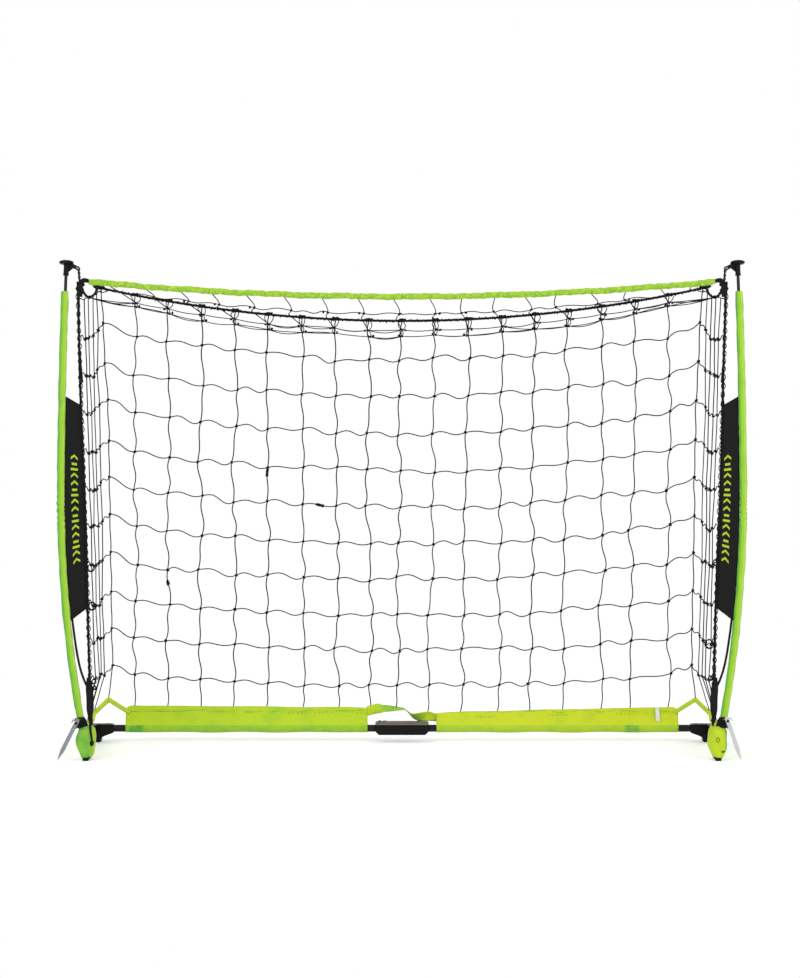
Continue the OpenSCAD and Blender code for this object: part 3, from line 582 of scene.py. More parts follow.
def makePoleSleeve(side):
    k, s = sides[side], poleSleeve
    length = s["high"] - s["low"]

    def place(u, v):
        h = s["low"] + length * v
        centre = leaned(k * poleX(h), 0, h)
        ahead = (leaned(k * poleX(h + 0.001), 0, h + 0.001) - centre).normalized()
        normal = leaned(0, 1, 0) - leaned(0, 0, 0)
        angle = 2 * pi * u
        # the sewn seam stands up towards the net
        inward = cos(angle - (pi / 2 if k < 0 else -pi / 2))
        wrinkle = s["wrinkle"] * (ripple(v * 3.0, u * 0.12, k) + 0.7 * sin(95 * v + 5 * sin(angle + 9 * v)))
        # it bunches up at the poles' joint
        bunch = exp(-((h - s["ferruleAt"]) / s["bunchReach"]) ** 2)
        wrinkle += s["bunch"] * bunch * sin(430 * h + 3 * sin(angle + 40 * h))
        radius = s["radius"] + wrinkle + s["seam"] * max(0.0, inward) ** 14
        if v < 0.02 or v > 0.985:
            radius -= 0.0004   # the turned hem is drawn in
        return ringPoint(centre, ahead, normal, angle, radius)

    obj = clothStrip(side + "PoleSleeve", finish["sleevePolyester"], place, s["girth"], length, 24, s["rings"],
                     closed=True)
    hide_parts(side + "_pole_sleeve")
    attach(obj, side + "_side")


for side in sides:
    makePoleSleeve(side)
print("pole sleeves ready")

# slung crossbar

crossbar = {"radius": 0.008, "split": 0.3, "flat": 0.86, "wrinkle": 0.0009, "girth": 0.05}


def makeCrossbar(side, part):
    k, s = sides[side], crossbar
    start, end = (0, s["split"]) if part == "inner" else (s["split"], goal["crossbarHalf"])
    normal = leaned(0, 1, 0) - leaned(0, 0, 0)

    def place(u, v):
        x = start + (end - start) * v
        centre = leaned(k * x, 0, crossbarAt(x))
        ahead = (leaned(k * (x + 0.001), 0, crossbarAt(x + 0.001)) - centre).normalized()
        # the painted shade band lies on the underside
        angle = 2 * pi * u * k   # the underside lies at the same place in both cuts
        pull = 0.6 * sin(190 * x * k + 2.4 * sin(angle)) + 0.5 * sin(330 * x - 3 * angle + k)
        radius = s["radius"] + s["wrinkle"] * (pull + 0.6 * ripple(7 * x * k, u, 2.0))
        radius *= 1.0 + 0.03 * sin(23 * x * k + 1.0)
        if end - x < 0.012 and part == "outer":
            radius *= 0.8 + 0.2 * (end - x) / 0.012   # gathered into the corner
        centre.z += 0.0007 * sin(31 * x * k) + 0.0005 * sin(77 * x * k + 1)
        return ringPoint(centre, ahead, normal * s["flat"], angle, radius)

    obj = clothStrip(f"{side}Crossbar{part.title()}", finish["crossbarPolyester"], place, s["girth"], end - start,
                     20, round((end - start) * 330), closed=True)
    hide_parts(side + "_crossbar")
    bend(obj, side, "inner" if part == "inner" else "crossbar")


for half in halves:
    makeCrossbar(*half)
print("crossbar ready")

# ground skirts

groundSkirt = {
    "inner": 0.097, "outer": 0.778, "top": 0.102, "barZ": 0.038, "loop": 0.013,
    "droop": {"left": (0.006, 0.0), "right": (0.021, 0.004)},   # of the top edge, at the inner and outer end
    "slack": 0.0028, "hem": 0.0012, "corner": 0.017,
}


def skirtDroop(side, x):
    # how far the skirt's top edge hangs below its sewn height
    s = groundSkirt
    a, b = s["droop"][side]
    t = (min(max(abs(x), s["inner"]), s["outer"]) - s["inner"]) / (s["outer"] - s["inner"])
    past = max(0.0, abs(x) - (s["outer"] - s["corner"]))
    rounded = s["corner"] - sqrt(max(0.0, s["corner"] ** 2 - past ** 2))
    return a + (b - a) * t ** 0.8 + 0.0012 * sin(27 * x) * (1 - t) + 0.9 * rounded


def skirtFlat(s):
    # the cloth's whole width: two flaps and the turn under the bar
    return 2 * (s["top"] - s["barZ"] - 0.004) + pi * s["loop"] * 1.08


def skirtSection(u, top, barZ, loop):
    # (behind the bar, height) on the way from the back edge, under the bar and up to the front edge
    flap = top - barZ - 0.004
    turn = pi * loop
    total = 2 * flap + turn
    run = u * total
    if run < flap:
        t = run / flap
        return 0.0009 + (loop - 0.0009) * t ** 2.2, top - flap * t, t
    if run < flap + turn:
        a = (run - flap) / loop
        return loop * cos(a), barZ + 0.004 - loop * 1.15 * sin(a), 1.0
    t = (total - run) / flap
    return -0.0009 - (loop - 0.0009) * t ** 2.2, top - flap * t, t


def makeGroundSkirt(side):
    k, s = sides[side], groundSkirt
    flat = skirtFlat(s)

    def place(u, v):
        x = s["inner"] + (s["outer"] - s["inner"]) * v
        top = s["top"] - skirtDroop(side, x)
        back, z, depth = skirtSection(u, top, s["barZ"], s["loop"])
        # both layers billow and crease together, least at the hem and at the ends
        swell = sin(pi * min(depth, 1.0)) * (0.35 + 0.65 * sin(pi * v))
        back += s["slack"] * swell * (ripple(x * 2.6, z * 2, k) + 0.3 * (1 if back > 0 else -1))
        crease = exp(-((v - 0.955) / 0.03) ** 2) + exp(-((v - 0.03) / 0.025) ** 2)
        back += 0.0016 * crease * sin(55 * (z * 2.2 + v)) * swell
        if abs(back) < 0.006 and z > top - 0.012:
            back += s["hem"] * (1 if u > 0.5 else -1) * -0.5
        z += 0.0012 * sin(34 * x + k) * sin(pi * v) * (1 if depth >= 1.0 else 0.2)
        return Vector((k * x, goal["barY"] + back, z))

    length = s["outer"] - s["inner"]
    mat = finish["skirtPolyester" if side == "left" else "yellowSkirtPolyester"]
    obj = clothStrip(side + "GroundSkirt", mat, place, flat, length, 44, 150, thick=0.0007)
    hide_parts(side + "_ground_skirt")
    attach(obj, side + "_bar")

    # the sewn channel under the top edge, where the net's foot line runs
    def along(z, back):
        return [Vector((k * x, goal["barY"] + back, s["top"] - skirtDroop(side, x) + z))
                for x in even(s["inner"] + 0.002, s["outer"] - 0.002, 0.006)]

    piping = cordMesh(side + "SkirtPiping", finish["limeWebbing"], [along(-0.0016, -0.0002)], 0.0042)
    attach(piping, side + "_bar")
    stitches = []
    for row in (-0.0145, -0.0165):
        line = along(row, -0.0032)
        stitches += [line[i:i + 2] for i in range(0, len(line) - 1, 2)]
    thread = cordMesh(side + "SkirtStitching", finish["limeWebbing"], stitches, 0.0008, 4)
    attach(thread, side + "_bar")


for side in sides:
    makeGroundSkirt(side)
print("ground skirts ready")

# band over the hub, with one twist

hubBand = {
    # along the band: how far out, the middle's height and how far it has turned, in degrees
    "line": [(-0.0999, 0.0857, 4), (-0.084, 0.09, 0), (-0.0692, 0.0936, 0), (-0.0572, 0.094, 38),
             (-0.0384, 0.095, 58), (-0.0162, 0.095, 74), (0.0009, 0.094, 82), (0.0094, 0.0902, 90),
             (0.0162, 0.0849, 97), (0.0265, 0.0755, 112), (0.0367, 0.0712, 133), (0.0538, 0.0712, 154),
             (0.0709, 0.0722, 160), (0.0794, 0.0718, 156), (0.0968, 0.068, 140)],
    "width": 0.028, "curl": 0.0032, "thick": 0.0012,
}


def makeHubBand():
    s = hubBand
    line = smoothLine([Vector((x, radians(turn), z)) for x, z, turn in s["line"]], 6)
    runs = [0.0, *accumulate(hypot(q.x - p.x, q.z - p.z) for p, q in zip(line, line[1:]))]
    middle = next(r for r, p in zip(runs, line) if p.x >= 0)
    for side, low, high in (("left", 0.0, middle), ("right", middle, runs[-1])):
        def place(u, v):
            i, t = spanAt(runs, low + (high - low) * v)
            p = line[i].lerp(line[i + 1], min(1.0, t))
            curl = s["curl"] * (cos(2.6 * (u - 0.5)) - 0.7) + 0.001 * sin(90 * p.x + 4 * u)
            across = Vector((0, sin(p.y), cos(p.y)))
            out = Vector((0, -cos(p.y), sin(p.y)))
            q = Vector((p.x, goal["barY"] - 0.001, p.z))
            return q + across * ((u - 0.5) * s["width"]) + out * curl
        band = clothStrip(side + "HubBand", finish["bandPolyester"], place, s["width"], high - low, 10, 44,
                          thick=s["thick"])
        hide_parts("hub_band")
        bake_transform(band)


makeHubBand()
print("hub band ready")

# straps that lift the net's lower corners

cornerStrap = {
    "width": 0.0122,
    "line": [(0.7665, 0.0815), (0.826, 0.1195), (0.856, 0.0905), (0.8665, 0.079), (0.869, 0.06)],
    "behind": [0.0, -0.0015, -0.009, -0.02, -0.033],
}


def makeCornerStrap(side):
    k, s = sides[side], cornerStrap
    line = [Vector((x, 0, z)) for x, z in s["line"]]
    ways = [(b - a).normalized() for a, b in zip(line, line[1:])]
    runs = [0.0, *accumulate((b - a).length for a, b in zip(line, line[1:]))]
    # each corner of the strap is mitred
    mitres = []
    for i in range(len(line)):
        before, after = ways[max(i - 1, 0)], ways[min(i, len(ways) - 1)]
        across = Vector((-before.z, 0, before.x)) + Vector((-after.z, 0, after.x))
        mitres.append(across * (s["width"] / across.length / across.normalized().dot(Vector((-before.z, 0, before.x)))))

    def place(u, v):
        run = v * runs[-1]
        i, t = spanAt(runs, run)
        q = line[i].lerp(line[i + 1], t) + mitres[i].lerp(mitres[i + 1], t) * (u - 0.5)
        back = s["behind"][i] + (s["behind"][i + 1] - s["behind"][i]) * t
        back += 0.0022 * max(0.0, 1 - abs(run - runs[1]) / 0.006) * (1 if run > runs[1] else -1)
        back -= 0.0008 * cos(5 * (u - 0.5)) + 0.0006 * sin(260 * run)
        return Vector((k * q.x, goal["barY"] - 0.0036 + back, q.z))

    strap = clothStrip(side + "CornerStrap", finish["limeWebbing"], place, s["width"], runs[-1], 6, 84, thick=0.0014)
    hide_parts(side + "_corner_strap")
    bend(strap, side, "corner")


for side in sides:
    makeCornerStrap(side)
print("corner straps ready")

# top rope with its lashing

backNet = {
    "twine": 0.0033, "knot": 0.0041, "rows": 10,
    # where the columns stand along the skirt, in millimetres
    "foot": [-826, -753, -660, -566, -475, -381, -278, -178, -88, -16, 72, 165, 269, 360, 453, 561, 643, 750, 826],
    "topPitch": 0.0905,
    # how far its edge columns are drawn in between their two ends
    "drawnIn": 0.0125,
    "middleRow": (0.057, 0.1037), "sideRow": (0.0907, 0.1077), "sideAt": 0.753,
    "rowWave": 0.0065, "columnWave": 0.0038, "depthWave": 0.004, "spread": 0.0045, "seed": 7,
    # spans bound again where the twine was mended: side, which way, column and row, and from where to where
    "mends": {("left", "column", 4, 6): (0.76, 0.98), ("left", "row", 2, 6): (0.4, 0.58),
              ("left", "column", 7, 3): (0.6, 0.67)},
}
topRope = {"strand": 0.0036, "offset": 0.0022, "lay": 0.03, "lashing": 0.0022, "lashPitch": 0.017,
           "lashOut": 0.0047, "knot": 0.0052, "split": 0.3}


def makeTopRope(side, part):
    k, s = sides[side], topRope
    start, end = (0, s["split"]) if part == "inner" else (s["split"], goal["ropeHalf"])
    line = [onNet(k * x, ropeAt(x)) for x in even(start, end, 0.006)]
    rope = cordMesh(f"{side}TopRope{part.title()}", finish["rope"],
                    strandsRound(line, s["offset"], s["lay"], 3, start), s["strand"])
    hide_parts(side + "_top_rope")
    bend(rope, side, part)
    wound = strandsRound(line, s["lashOut"], s["lashPitch"], 1, start + 0.01)[0]
    turns = [q + Vector((0, 0, 0.0008 * sin(40 * p.x))) for p, q in zip(line, wound)]
    spots = [c * backNet["topPitch"] for c in range(10)]
    spots = [x for x in spots if start <= x < end and (x > 0 or side == "right")]
    bound = [onNet(k * x + out, ropeAt(x) + 0.0015) for x in spots for out in (-0.005, 0.0, 0.006)]
    twineWork(side, part, ("Lashing", "RopeKnots"), [turns], s["lashing"], bound, s["knot"], 17)


for half in halves:
    makeTopRope(*half)
print("top rope ready")

# back net

def drawnIn(j):
    # an edge column stands further in all the way up, and comes back to the corner near the top
    rows = backNet["rows"]
    return backNet["drawnIn"] * min(1.0, j, (rows + 1 - j) / 3)


def netKnots():
    # the knots of the back net, as (x, s) up its slope
    n, rng = backNet, random.Random(backNet["seed"])
    knots = {}
    for i, footX in enumerate(n["foot"]):
        k = i - 9
        low = footX / 1000
        for j in range(n["rows"] + 2):
            x = low + (k * n["topPitch"] - low) * j / (n["rows"] + 1)
            if j == 0:
                side = "left" if x < 0 else "right"
                s = -skirtDroop(side, x) / 0.9737 if abs(k) < 9 else 0.024
            elif j == n["rows"] + 1:
                s = ropeAt(min(abs(x), goal["ropeHalf"])) - 0.004
            else:
                mid = n["middleRow"][0] + (j - 1) * n["middleRow"][1]
                out = n["sideRow"][0] + (j - 1) * n["sideRow"][1]
                s = mid + (out - mid) * min(1.6, (abs(x) / n["sideAt"]) ** 2.0)
                if abs(k) == 9:
                    s += 0.022
                s += rng.gauss(0, n["spread"] * 0.7)
                x += rng.gauss(0, n["spread"]) * (0.3 if abs(k) == 9 else 1)
                if abs(k) == 9:
                    x -= copysign(drawnIn(j), x)
            knots[k, j] = (x, s)
    return knots


knots = netKnots()


def wavy(a, b, along, size, rng, points=9):
    # a slack span between two knots: up after the first one and down before the next
    rise = size * rng.uniform(0.45, 1.25)
    lean = rng.uniform(0.85, 1.3)
    depth = backNet["depthWave"] * rng.uniform(-1, 1)
    out = []
    for i in range(points + 1):
        t = i / points
        wave = sin(2 * pi * t ** lean) * rise
        p = a.lerp(b, t) + along * wave
        p.y += depth * sin(pi * t) + 0.4 * depth * sin(3 * pi * t)
        out.append(p)
    return out


def joined(spans):
    # spans end to end, as one line
    return [p for span in spans[:-1] for p in span[:-1]] + spans[-1]


def onNetKnot(k, j):
    return onNet(*knots[k, j])


def mended(span, key):
    # close turns of twine along part of a span, where it is mended
    if key not in backNet["mends"]:
        return []
    low, high = (v * (len(span) - 1) for v in backNet["mends"][key])
    return [span[int(r)].lerp(span[int(r) + 1], r % 1) for r in (low + (high - low) * i / 6 for i in range(7))]


def makeBackNet(side, part):
    k, n = sides[side], backNet
    rng = random.Random(n["seed"] + (5 if side == "left" else 9) + (2 if part == "inner" else 0))
    slope = (onNet(0, 1) - onNet(0, 0)).normalized()
    first, last = (0, 3) if part == "inner" else (3, 9)
    lines, places = [], []
    for c in range(first, last + 1):
        if (c == 0 and side == "left") or (c == 3 and part == "outer"):
            continue   # its neighbour has this column
        spans = []
        for j in range(n["rows"] + 1):
            size = n["columnWave"] * (0.35 if c == 9 else 1.0) * (0.5 if j == 0 else 1.0)
            spans.append(wavy(onNetKnot(k * c, j), onNetKnot(k * c, j + 1), Vector((1, 0, 0)), size, rng))
            places += mended(spans[-1], (side, "column", c, j))
        lines.append(joined(spans))
        places += [onNetKnot(k * c, j) for j in range(1, n["rows"] + 1)]
    for j in range(1, n["rows"] + 1):
        spans = []
        for c in range(first, last):
            # the slack falls the same way all along a row
            a, b = (onNetKnot(c, j), onNetKnot(c + 1, j)) if k > 0 else (onNetKnot(-c - 1, j), onNetKnot(-c, j))
            spans.append(wavy(a, b, slope, n["rowWave"], rng)[::k])
            places += mended(spans[-1], (side, "row", c, j))
        lines.append(joined(spans))
    twineWork(side, part, ("BackNet", "NetKnots"), lines, n["twine"], places, n["knot"], rng.random(), "_back_net")


for half in halves:
    makeBackNet(*half)
print("back net ready")

# the net's slack edge under the top rope

slackEdge = {"twine": 0.0027, "falls": (0.026, 0.041), "low": (0.841, -0.088, 1.229), "knot": 0.0036, "seed": 21}


def slackKnot(k, c, row):
    # a knot of the slack edge below the rope; the last one is the bottom of the corner's loop
    if c == 9:
        x, y, z = slackEdge["low"]
        return Vector((k * (x - 0.004 * row), y + 0.006 * row, z))
    rng = random.Random(900 + 20 * c + 3 * row + (k if c else 0))
    x = c * backNet["topPitch"] + rng.uniform(-0.004, 0.004) * (c > 0)
    fall = slackEdge["falls"][row] * (1 - 0.25 * (x / 0.8) ** 2) * rng.uniform(0.9, 1.12)
    p = onNet(k * x, ropeAt(x) - fall)
    p.y += rng.uniform(-0.008, 0.002)
    return p


def halfDraws(seed, side, part):
    return random.Random(seed + (1 if side == "left" else 2) + (10 if part == "inner" else 0))


def bowed(a, b, sideways, down=0.0, depth=0.0, points=8):
    # a span from a to b with one even bow
    out = []
    for i in range(points + 1):
        t = i / points
        swell = sin(pi * t)
        p = a.lerp(b, t)
        out.append(p + Vector((sideways * swell, depth * swell, -down * swell)))
    return out


def makeSlackEdge(side, part):
    k, s = sides[side], slackEdge
    rng = halfDraws(s["seed"], side, part)
    first, last = (0, 3) if part == "inner" else (3, 9)
    lines, places = [], []
    for c in range(first, last):
        for row in (0, 1):
            a, b = slackKnot(k, c, row), slackKnot(k, c + 1, row)
            lines.append(bowed(a, b, 0.0, rng.uniform(0.001, 0.006), rng.uniform(-0.006, 0.006)))
            if rng.random() < (0.75 if row else 0.45) or c == 8:
                lines.append(bowed(a, b, 0.0, rng.uniform(-0.002, 0.009), rng.uniform(-0.008, 0.008)))
        if rng.random() < 0.3:
            lines.append(bowed(slackKnot(k, c, 0), slackKnot(k, c + 1, 1), 0.0, 0.003))
    for c in range(first, last + 1):
        if c == 9 or (c == 0 and side == "left") or (c == 3 and part == "outer"):
            continue
        upper, lower = slackKnot(k, c, 0), slackKnot(k, c, 1)
        x = c * backNet["topPitch"]
        # two short falls from the rope, then a loose double down to the lower knot
        for out in (-1, 1):
            start = onNet(k * x + out * rng.uniform(0.004, 0.013), ropeAt(x) - 0.003)
            end = upper + Vector((0.002 * out, 0, 0))
            lines.append(bowed(start, end, out * rng.uniform(0.001, 0.006), 0.0, 0.004 * out))
            lines.append(bowed(upper, lower, out * rng.uniform(0.002, 0.006), 0.0, -0.003 * out, 5))
        places += [upper, lower, upper + Vector((k * 0.009, 0, -0.001)), lower + Vector((-k * 0.008, 0, 0.002))]
    twineWork(side, part, ("SlackEdge", "SlackKnots"), lines, s["twine"], places, s["knot"], s["seed"])


for half in halves:
    makeSlackEdge(*half)
print("slack edge ready")

# roof lines from the crossbar back to the rope

roofNet = {
    "twine": 0.0028, "knot": 0.0034, "belly": 0.008, "rowAt": 0.62, "pitch": 0.0915, "seed": 33,
    "shift": {"left": -0.025, "right": 0.035},   # of the columns, most at the middle
}


def makeRoofNet(side, part):
    k, s = sides[side], roofNet
    rng = halfDraws(s["seed"], side, part)
    lines, places, rows = [], [], []
    slots = range(1, 4) if part == "inner" else range(4, 10)
    for c in slots:
        x = (c - 0.5) * s["pitch"]
        x += s["shift"][side] * max(0.0, 1 - x / 0.42) + rng.uniform(-0.005, 0.005)
        column = c - 1 if side == "left" else c
        across = min(x - 0.008 if side == "left" else 0.5 * x + 0.5 * column * backNet["topPitch"], 0.812)
        a = leaned(k * x, 0.003, crossbarAt(x) - crossbar["radius"] * 0.8)
        b = onNet(k * across, ropeAt(across) + 0.004)
        b.y += 0.006
        bulge = rng.uniform(0.01, 0.015) * (1 if side == "left" or c < 2 else rng.choice((-0.6, 0.9)))
        down = []
        for i in range(13):
            t = i / 12
            p = a.lerp(b, t)
            p.z -= s["belly"] * sin(pi * t)
            p.x += bulge * sin(pi * min(1.0, t * 1.15)) ** 1.2
            down.append(p)
        tied = down[round(12 * s["rowAt"])]
        rows.append(tied)
        places.append(tied)
        lines.append(down + [slackKnot(k, column, 0)] if column < 9 else down)
        if rng.random() < 0.4:
            places.append(tied + Vector((k * 0.012, 0.002, 0.001)))

    def onRow(x):
        # a point of the row across, where two parts of the net meet
        p = leaned(k * x, 0.003, crossbarAt(x)).lerp(onNet(k * x, ropeAt(x)), s["rowAt"])
        return p - Vector((0, 0, s["belly"] * 0.9))

    split = 3 * s["pitch"] * 0.92
    if part == "outer":
        # the row ends beside the corner's loop
        rows = [onRow(split)] + rows + [onNet(k * 0.822, ropeAt(0.822) - 0.01)]
    else:
        rows = sorted([onRow(0)] + rows + [onRow(split)], key=lambda p: abs(p.x))
    for a, b in zip(rows, rows[1:]):
        lines.append(wavy(a, b, Vector((0, 0, 1)), 0.0035, rng))
    twineWork(side, part, ("RoofNet", "RoofKnots"), lines, s["twine"], places, s["knot"], s["seed"], "_roof_net")


for half in halves:
    makeRoofNet(*half)
print("roof lines ready")

# edge ropes beside the poles

edgeRope = {"footX": 0.8188, "footU": 0.0915, "topX": 0.8674, "topU": 1.2715,
            "strand": 0.0038, "offset": 0.0022, "lay": 0.026, "lacing": 0.0024, "lacePitch": 0.044, "seed": 41}


def edgeX(u):
    r = edgeRope
    return r["footX"] + (r["topX"] - r["footX"]) * (u - r["footU"]) / (r["topU"] - r["footU"])


def makeEdgeRope(side):
    k, s = sides[side], edgeRope
    rng = random.Random(s["seed"] + k)
    line = [leaned(k * (edgeX(u) + 0.0012 * sin(9 * u + k)), 0, u) for u in even(s["footU"], s["topU"], 0.006)]
    rope = cordMesh(side + "EdgeRope", finish["rope"], strandsRound(line, s["offset"], s["lay"], 3), s["strand"])
    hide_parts(side + "_edge_rope")
    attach(rope, side + "_side")
    # the net is laced to it, loosely enough to look ragged
    lacing = []
    for strand in range(2):
        points = []
        for u in even(s["footU"] + 0.03, s["topU"] - 0.02, 0.0045):
            a = 2 * pi * (u / s["lacePitch"] + strand / 2) + 0.5 * sin(23 * u)
            out = 0.005 + 0.0005 * sin(57 * u + strand * 2) + 0.0005 * rng.uniform(-1, 1)
            points.append(leaned(k * (edgeX(u) + out * cos(a)), out * sin(a), u))
        lacing.append(points)
    laced = cordMesh(side + "EdgeLacing", finish["netTwine"], lacing, s["lacing"])
    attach(laced, side + "_side")


for side in sides:
    makeEdgeRope(side)
print("edge ropes ready")

# side nets

sideSkirt = {"start": 0.044, "end": 0.357, "toe": 5.18, "top": 0.096, "barZ": 0.038, "loop": 0.013, "slack": 0.0026}
sideNet = {"twine": 0.003, "columns": 5, "rowWave": 0.0048, "columnWave": 0.0026, "seed": 51, "sag": 0.02,
           "laced": (0.118, 1.225),                 # from here to here up the edge rope
           "feet": (0.33, 0.27, 0.19, 0.1, 0.03),   # of the columns, ahead of the corner pivot
           "footZ": 0.0945}


def makeSideNet(side):
    k, n = sides[side], sideNet
    rng = random.Random(n["seed"] + k)
    rows = backNet["rows"]

    def front(j):
        # the row's knot on the edge rope; the rows fall from the back edge towards the mouth
        low, high = n["laced"]
        u = low + (high - low) * j / (rows + 1)
        return leaned(k * (edgeX(u) - 0.004), 0.002, u)

    grid = {}
    for j in range(rows + 2):
        back = onNetKnot(k * 9, j)
        ahead = front(j)
        for c in range(n["columns"] + 1):
            t = c / n["columns"]
            p = ahead.lerp(back, t)
            if 0 < c < n["columns"]:
                low = 1.0 if 0 < j <= rows else 0.3
                p.x += k * t * drawnIn(j)
                p.z -= n["sag"] * sin(pi * t) ** 0.5 * low
                p += Vector((rng.gauss(0, 0.0012), rng.gauss(0, 0.006), rng.gauss(0, 0.004) * low))
            if j == 0 and c < n["columns"]:
                # its foot is sewn to the strap and to the side skirt
                run = n["feet"][c]
                turn = radians(sideSkirt["toe"])
                p = Vector((k * (goal["cornerX"] - run * sin(turn)), goal["pivotY"] - run * cos(turn), n["footZ"]))
                if c == 4:
                    p = Vector((k * 0.8655, goal["barY"] - 0.014, 0.087))
            grid[c, j] = p
    lines = []
    for c in range(1, n["columns"]):
        lines.append(joined([wavy(grid[c, j], grid[c, j + 1], Vector((0, 1, 0)), n["columnWave"], rng)
                             for j in range(rows + 1)]))
    for j in range(1, rows + 2):
        size = n["rowWave"] * (0.4 if j > rows else 1)
        lines.append(joined([wavy(grid[c, j], grid[c + 1, j], Vector((0, 0, 1)), size, rng)
                             for c in range(n["columns"])]))
    places = [grid[c, j] for c in range(1, n["columns"]) for j in range(1, rows + 1)]
    twineWork(side, "", ("SideNet", "SideKnots"), lines, n["twine"], places, backNet["knot"], n["seed"], "_side_net",
              "flank")


for side in sides:
    makeSideNet(side)
print("side nets ready")

# side skirts, each with a boot over the front foot

boot = {
    "footX": 0.8333, "middleY": -0.2085,
    # height, half width, half depth
    "rings": [(0.1085, 0.0118, 0.0118), (0.102, 0.012, 0.0122), (0.094, 0.0124, 0.0132), (0.0875, 0.016, 0.0215),
              (0.0815, 0.0212, 0.0315), (0.07, 0.0244, 0.0366), (0.054, 0.025, 0.0374), (0.04, 0.0244, 0.0374),
              (0.028, 0.0222, 0.037), (0.018, 0.0184, 0.036), (0.01, 0.0142, 0.0345), (0.0048, 0.0106, 0.032),
              (0.002, 0.0078, 0.029), (0.0012, 0.0015, 0.022)],
    "girth": 0.2, "height": 0.125, "fold": 0.0012,
}


def makeSideSkirt(side):
    k, s = sides[side], sideSkirt
    a = radians(s["toe"])
    flat = skirtFlat(s)
    length = s["end"] - s["start"]

    def place(u, v):
        run = s["start"] + length * v
        top = s["top"] - 0.003 * sin(pi * v) - 0.001 * sin(31 * v)
        back, z, depth = skirtSection(u, top, s["barZ"], s["loop"])
        swell = sin(pi * min(depth, 1.0)) * (0.3 + 0.7 * sin(pi * v))
        back += s["slack"] * swell * ripple(run * 3.1, z * 2, k + 1.5)
        back += 0.0013 * swell * sin(48 * (z * 2 + v)) * exp(-((v - 0.93) / 0.07) ** 2)
        return Vector((k * (goal["cornerX"] - run * sin(a) + back * cos(a)),
                       goal["pivotY"] - run * cos(a) - back * sin(a), z))

    skirt = clothStrip(side + "SideSkirt", finish["skirtPolyester"], place, flat, length, 40, 90, thick=0.0007)
    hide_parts(side + "_side_skirt")
    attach(skirt, side + "_side")

    b = boot
    rounded = smoothLine([Vector(ring) for ring in b["rings"]], 4)

    def onBoot(u, v):
        i = min(int(v * (len(rounded) - 1)), len(rounded) - 2)
        z, w, d = rounded[i].lerp(rounded[i + 1], v * (len(rounded) - 1) - i)
        angle = 2 * pi * u + pi   # from the inner side, round the front, to the outer side
        c, n = cos(angle), sin(angle)
        power = 0.82 if z < 0.09 else 1.0
        x = copysign(abs(c) ** power, c)
        y = copysign(abs(n) ** power, n)
        loose = sin(pi * min(1.0, z / 0.095)) ** 0.5 if z < 0.095 else 0.0
        fold = b["fold"] * (1.0 if side == "right" else 1.6) * loose
        fold *= sin(88 * z + 5 * c * k + 2) + 0.6 * sin(150 * z - 4 * angle + k)
        if z > 0.09:
            fold = 0.0005 * sin(9 * angle)   # gathered under the strap
        axisX = poleX(z) if z > 0.09 else b["footX"]
        axisY = goal["frontY"] + z * tan(radians(goal["lean"]))
        middle = axisY + (b["middleY"] - axisY) * min(1.0, max(0.0, (0.104 - z) / 0.022))
        return Vector((k * (axisX + (w + fold) * x), middle + (d + fold) * y, z))

    mat = finish["bootPolyester" if side == "right" else "shadedBootPolyester"]
    sock = clothStrip(side + "Boot", mat, onBoot, b["girth"], b["height"], 48, 76, closed=True)
    sock.data.materials.append(finish["blackPolyester"])
    for face in sock.data.polygons:
        if face.center.z < 0.0095 and (face.center.x * k - b["footX"]) * k * (1 if side == "left" else -1) > -0.004:
            face.material_index = 1   # black cloth on the inner side of the toe
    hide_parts(side + "_side_skirt")
    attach(sock, side + "_side")


for side in sides:
    makeSideSkirt(side)
print("side skirts ready")

# gussets between sleeve and edge rope

gusset = {
    "low": 0.367, "high": 0.964, "slantLow": 0.034, "slantHigh": 0.024, "sleeveGap": 0.0086, "thick": 0.0012,
    "width": 0.046,   # in the mean
    "markLow": 0.508, "markHigh": 0.812, "markPitch": 0.0186, "markWidth": 0.019,
    "middle": {"left": 0.54, "right": 0.65},
}


def onGusset(k, u, v, out=0.0):
    g = gusset
    h0 = g["low"] + (g["high"] - g["low"]) * v
    h1 = g["low"] + g["slantLow"] + (g["high"] - g["low"] - g["slantLow"] - g["slantHigh"]) * v
    a = (poleX(h0) - g["sleeveGap"], h0)
    b = (edgeX(h1) + 0.0012, h1)
    x, h = a[0] + (b[0] - a[0]) * u, a[1] + (b[1] - a[1]) * u
    swell = sin(pi * u) * sin(pi * v)
    y = 0.002 * swell * sin(30 * h + 2 * u) + 0.0008 * sin(85 * h + 7 * u) * swell + out
    return leaned(k * x, y, h)


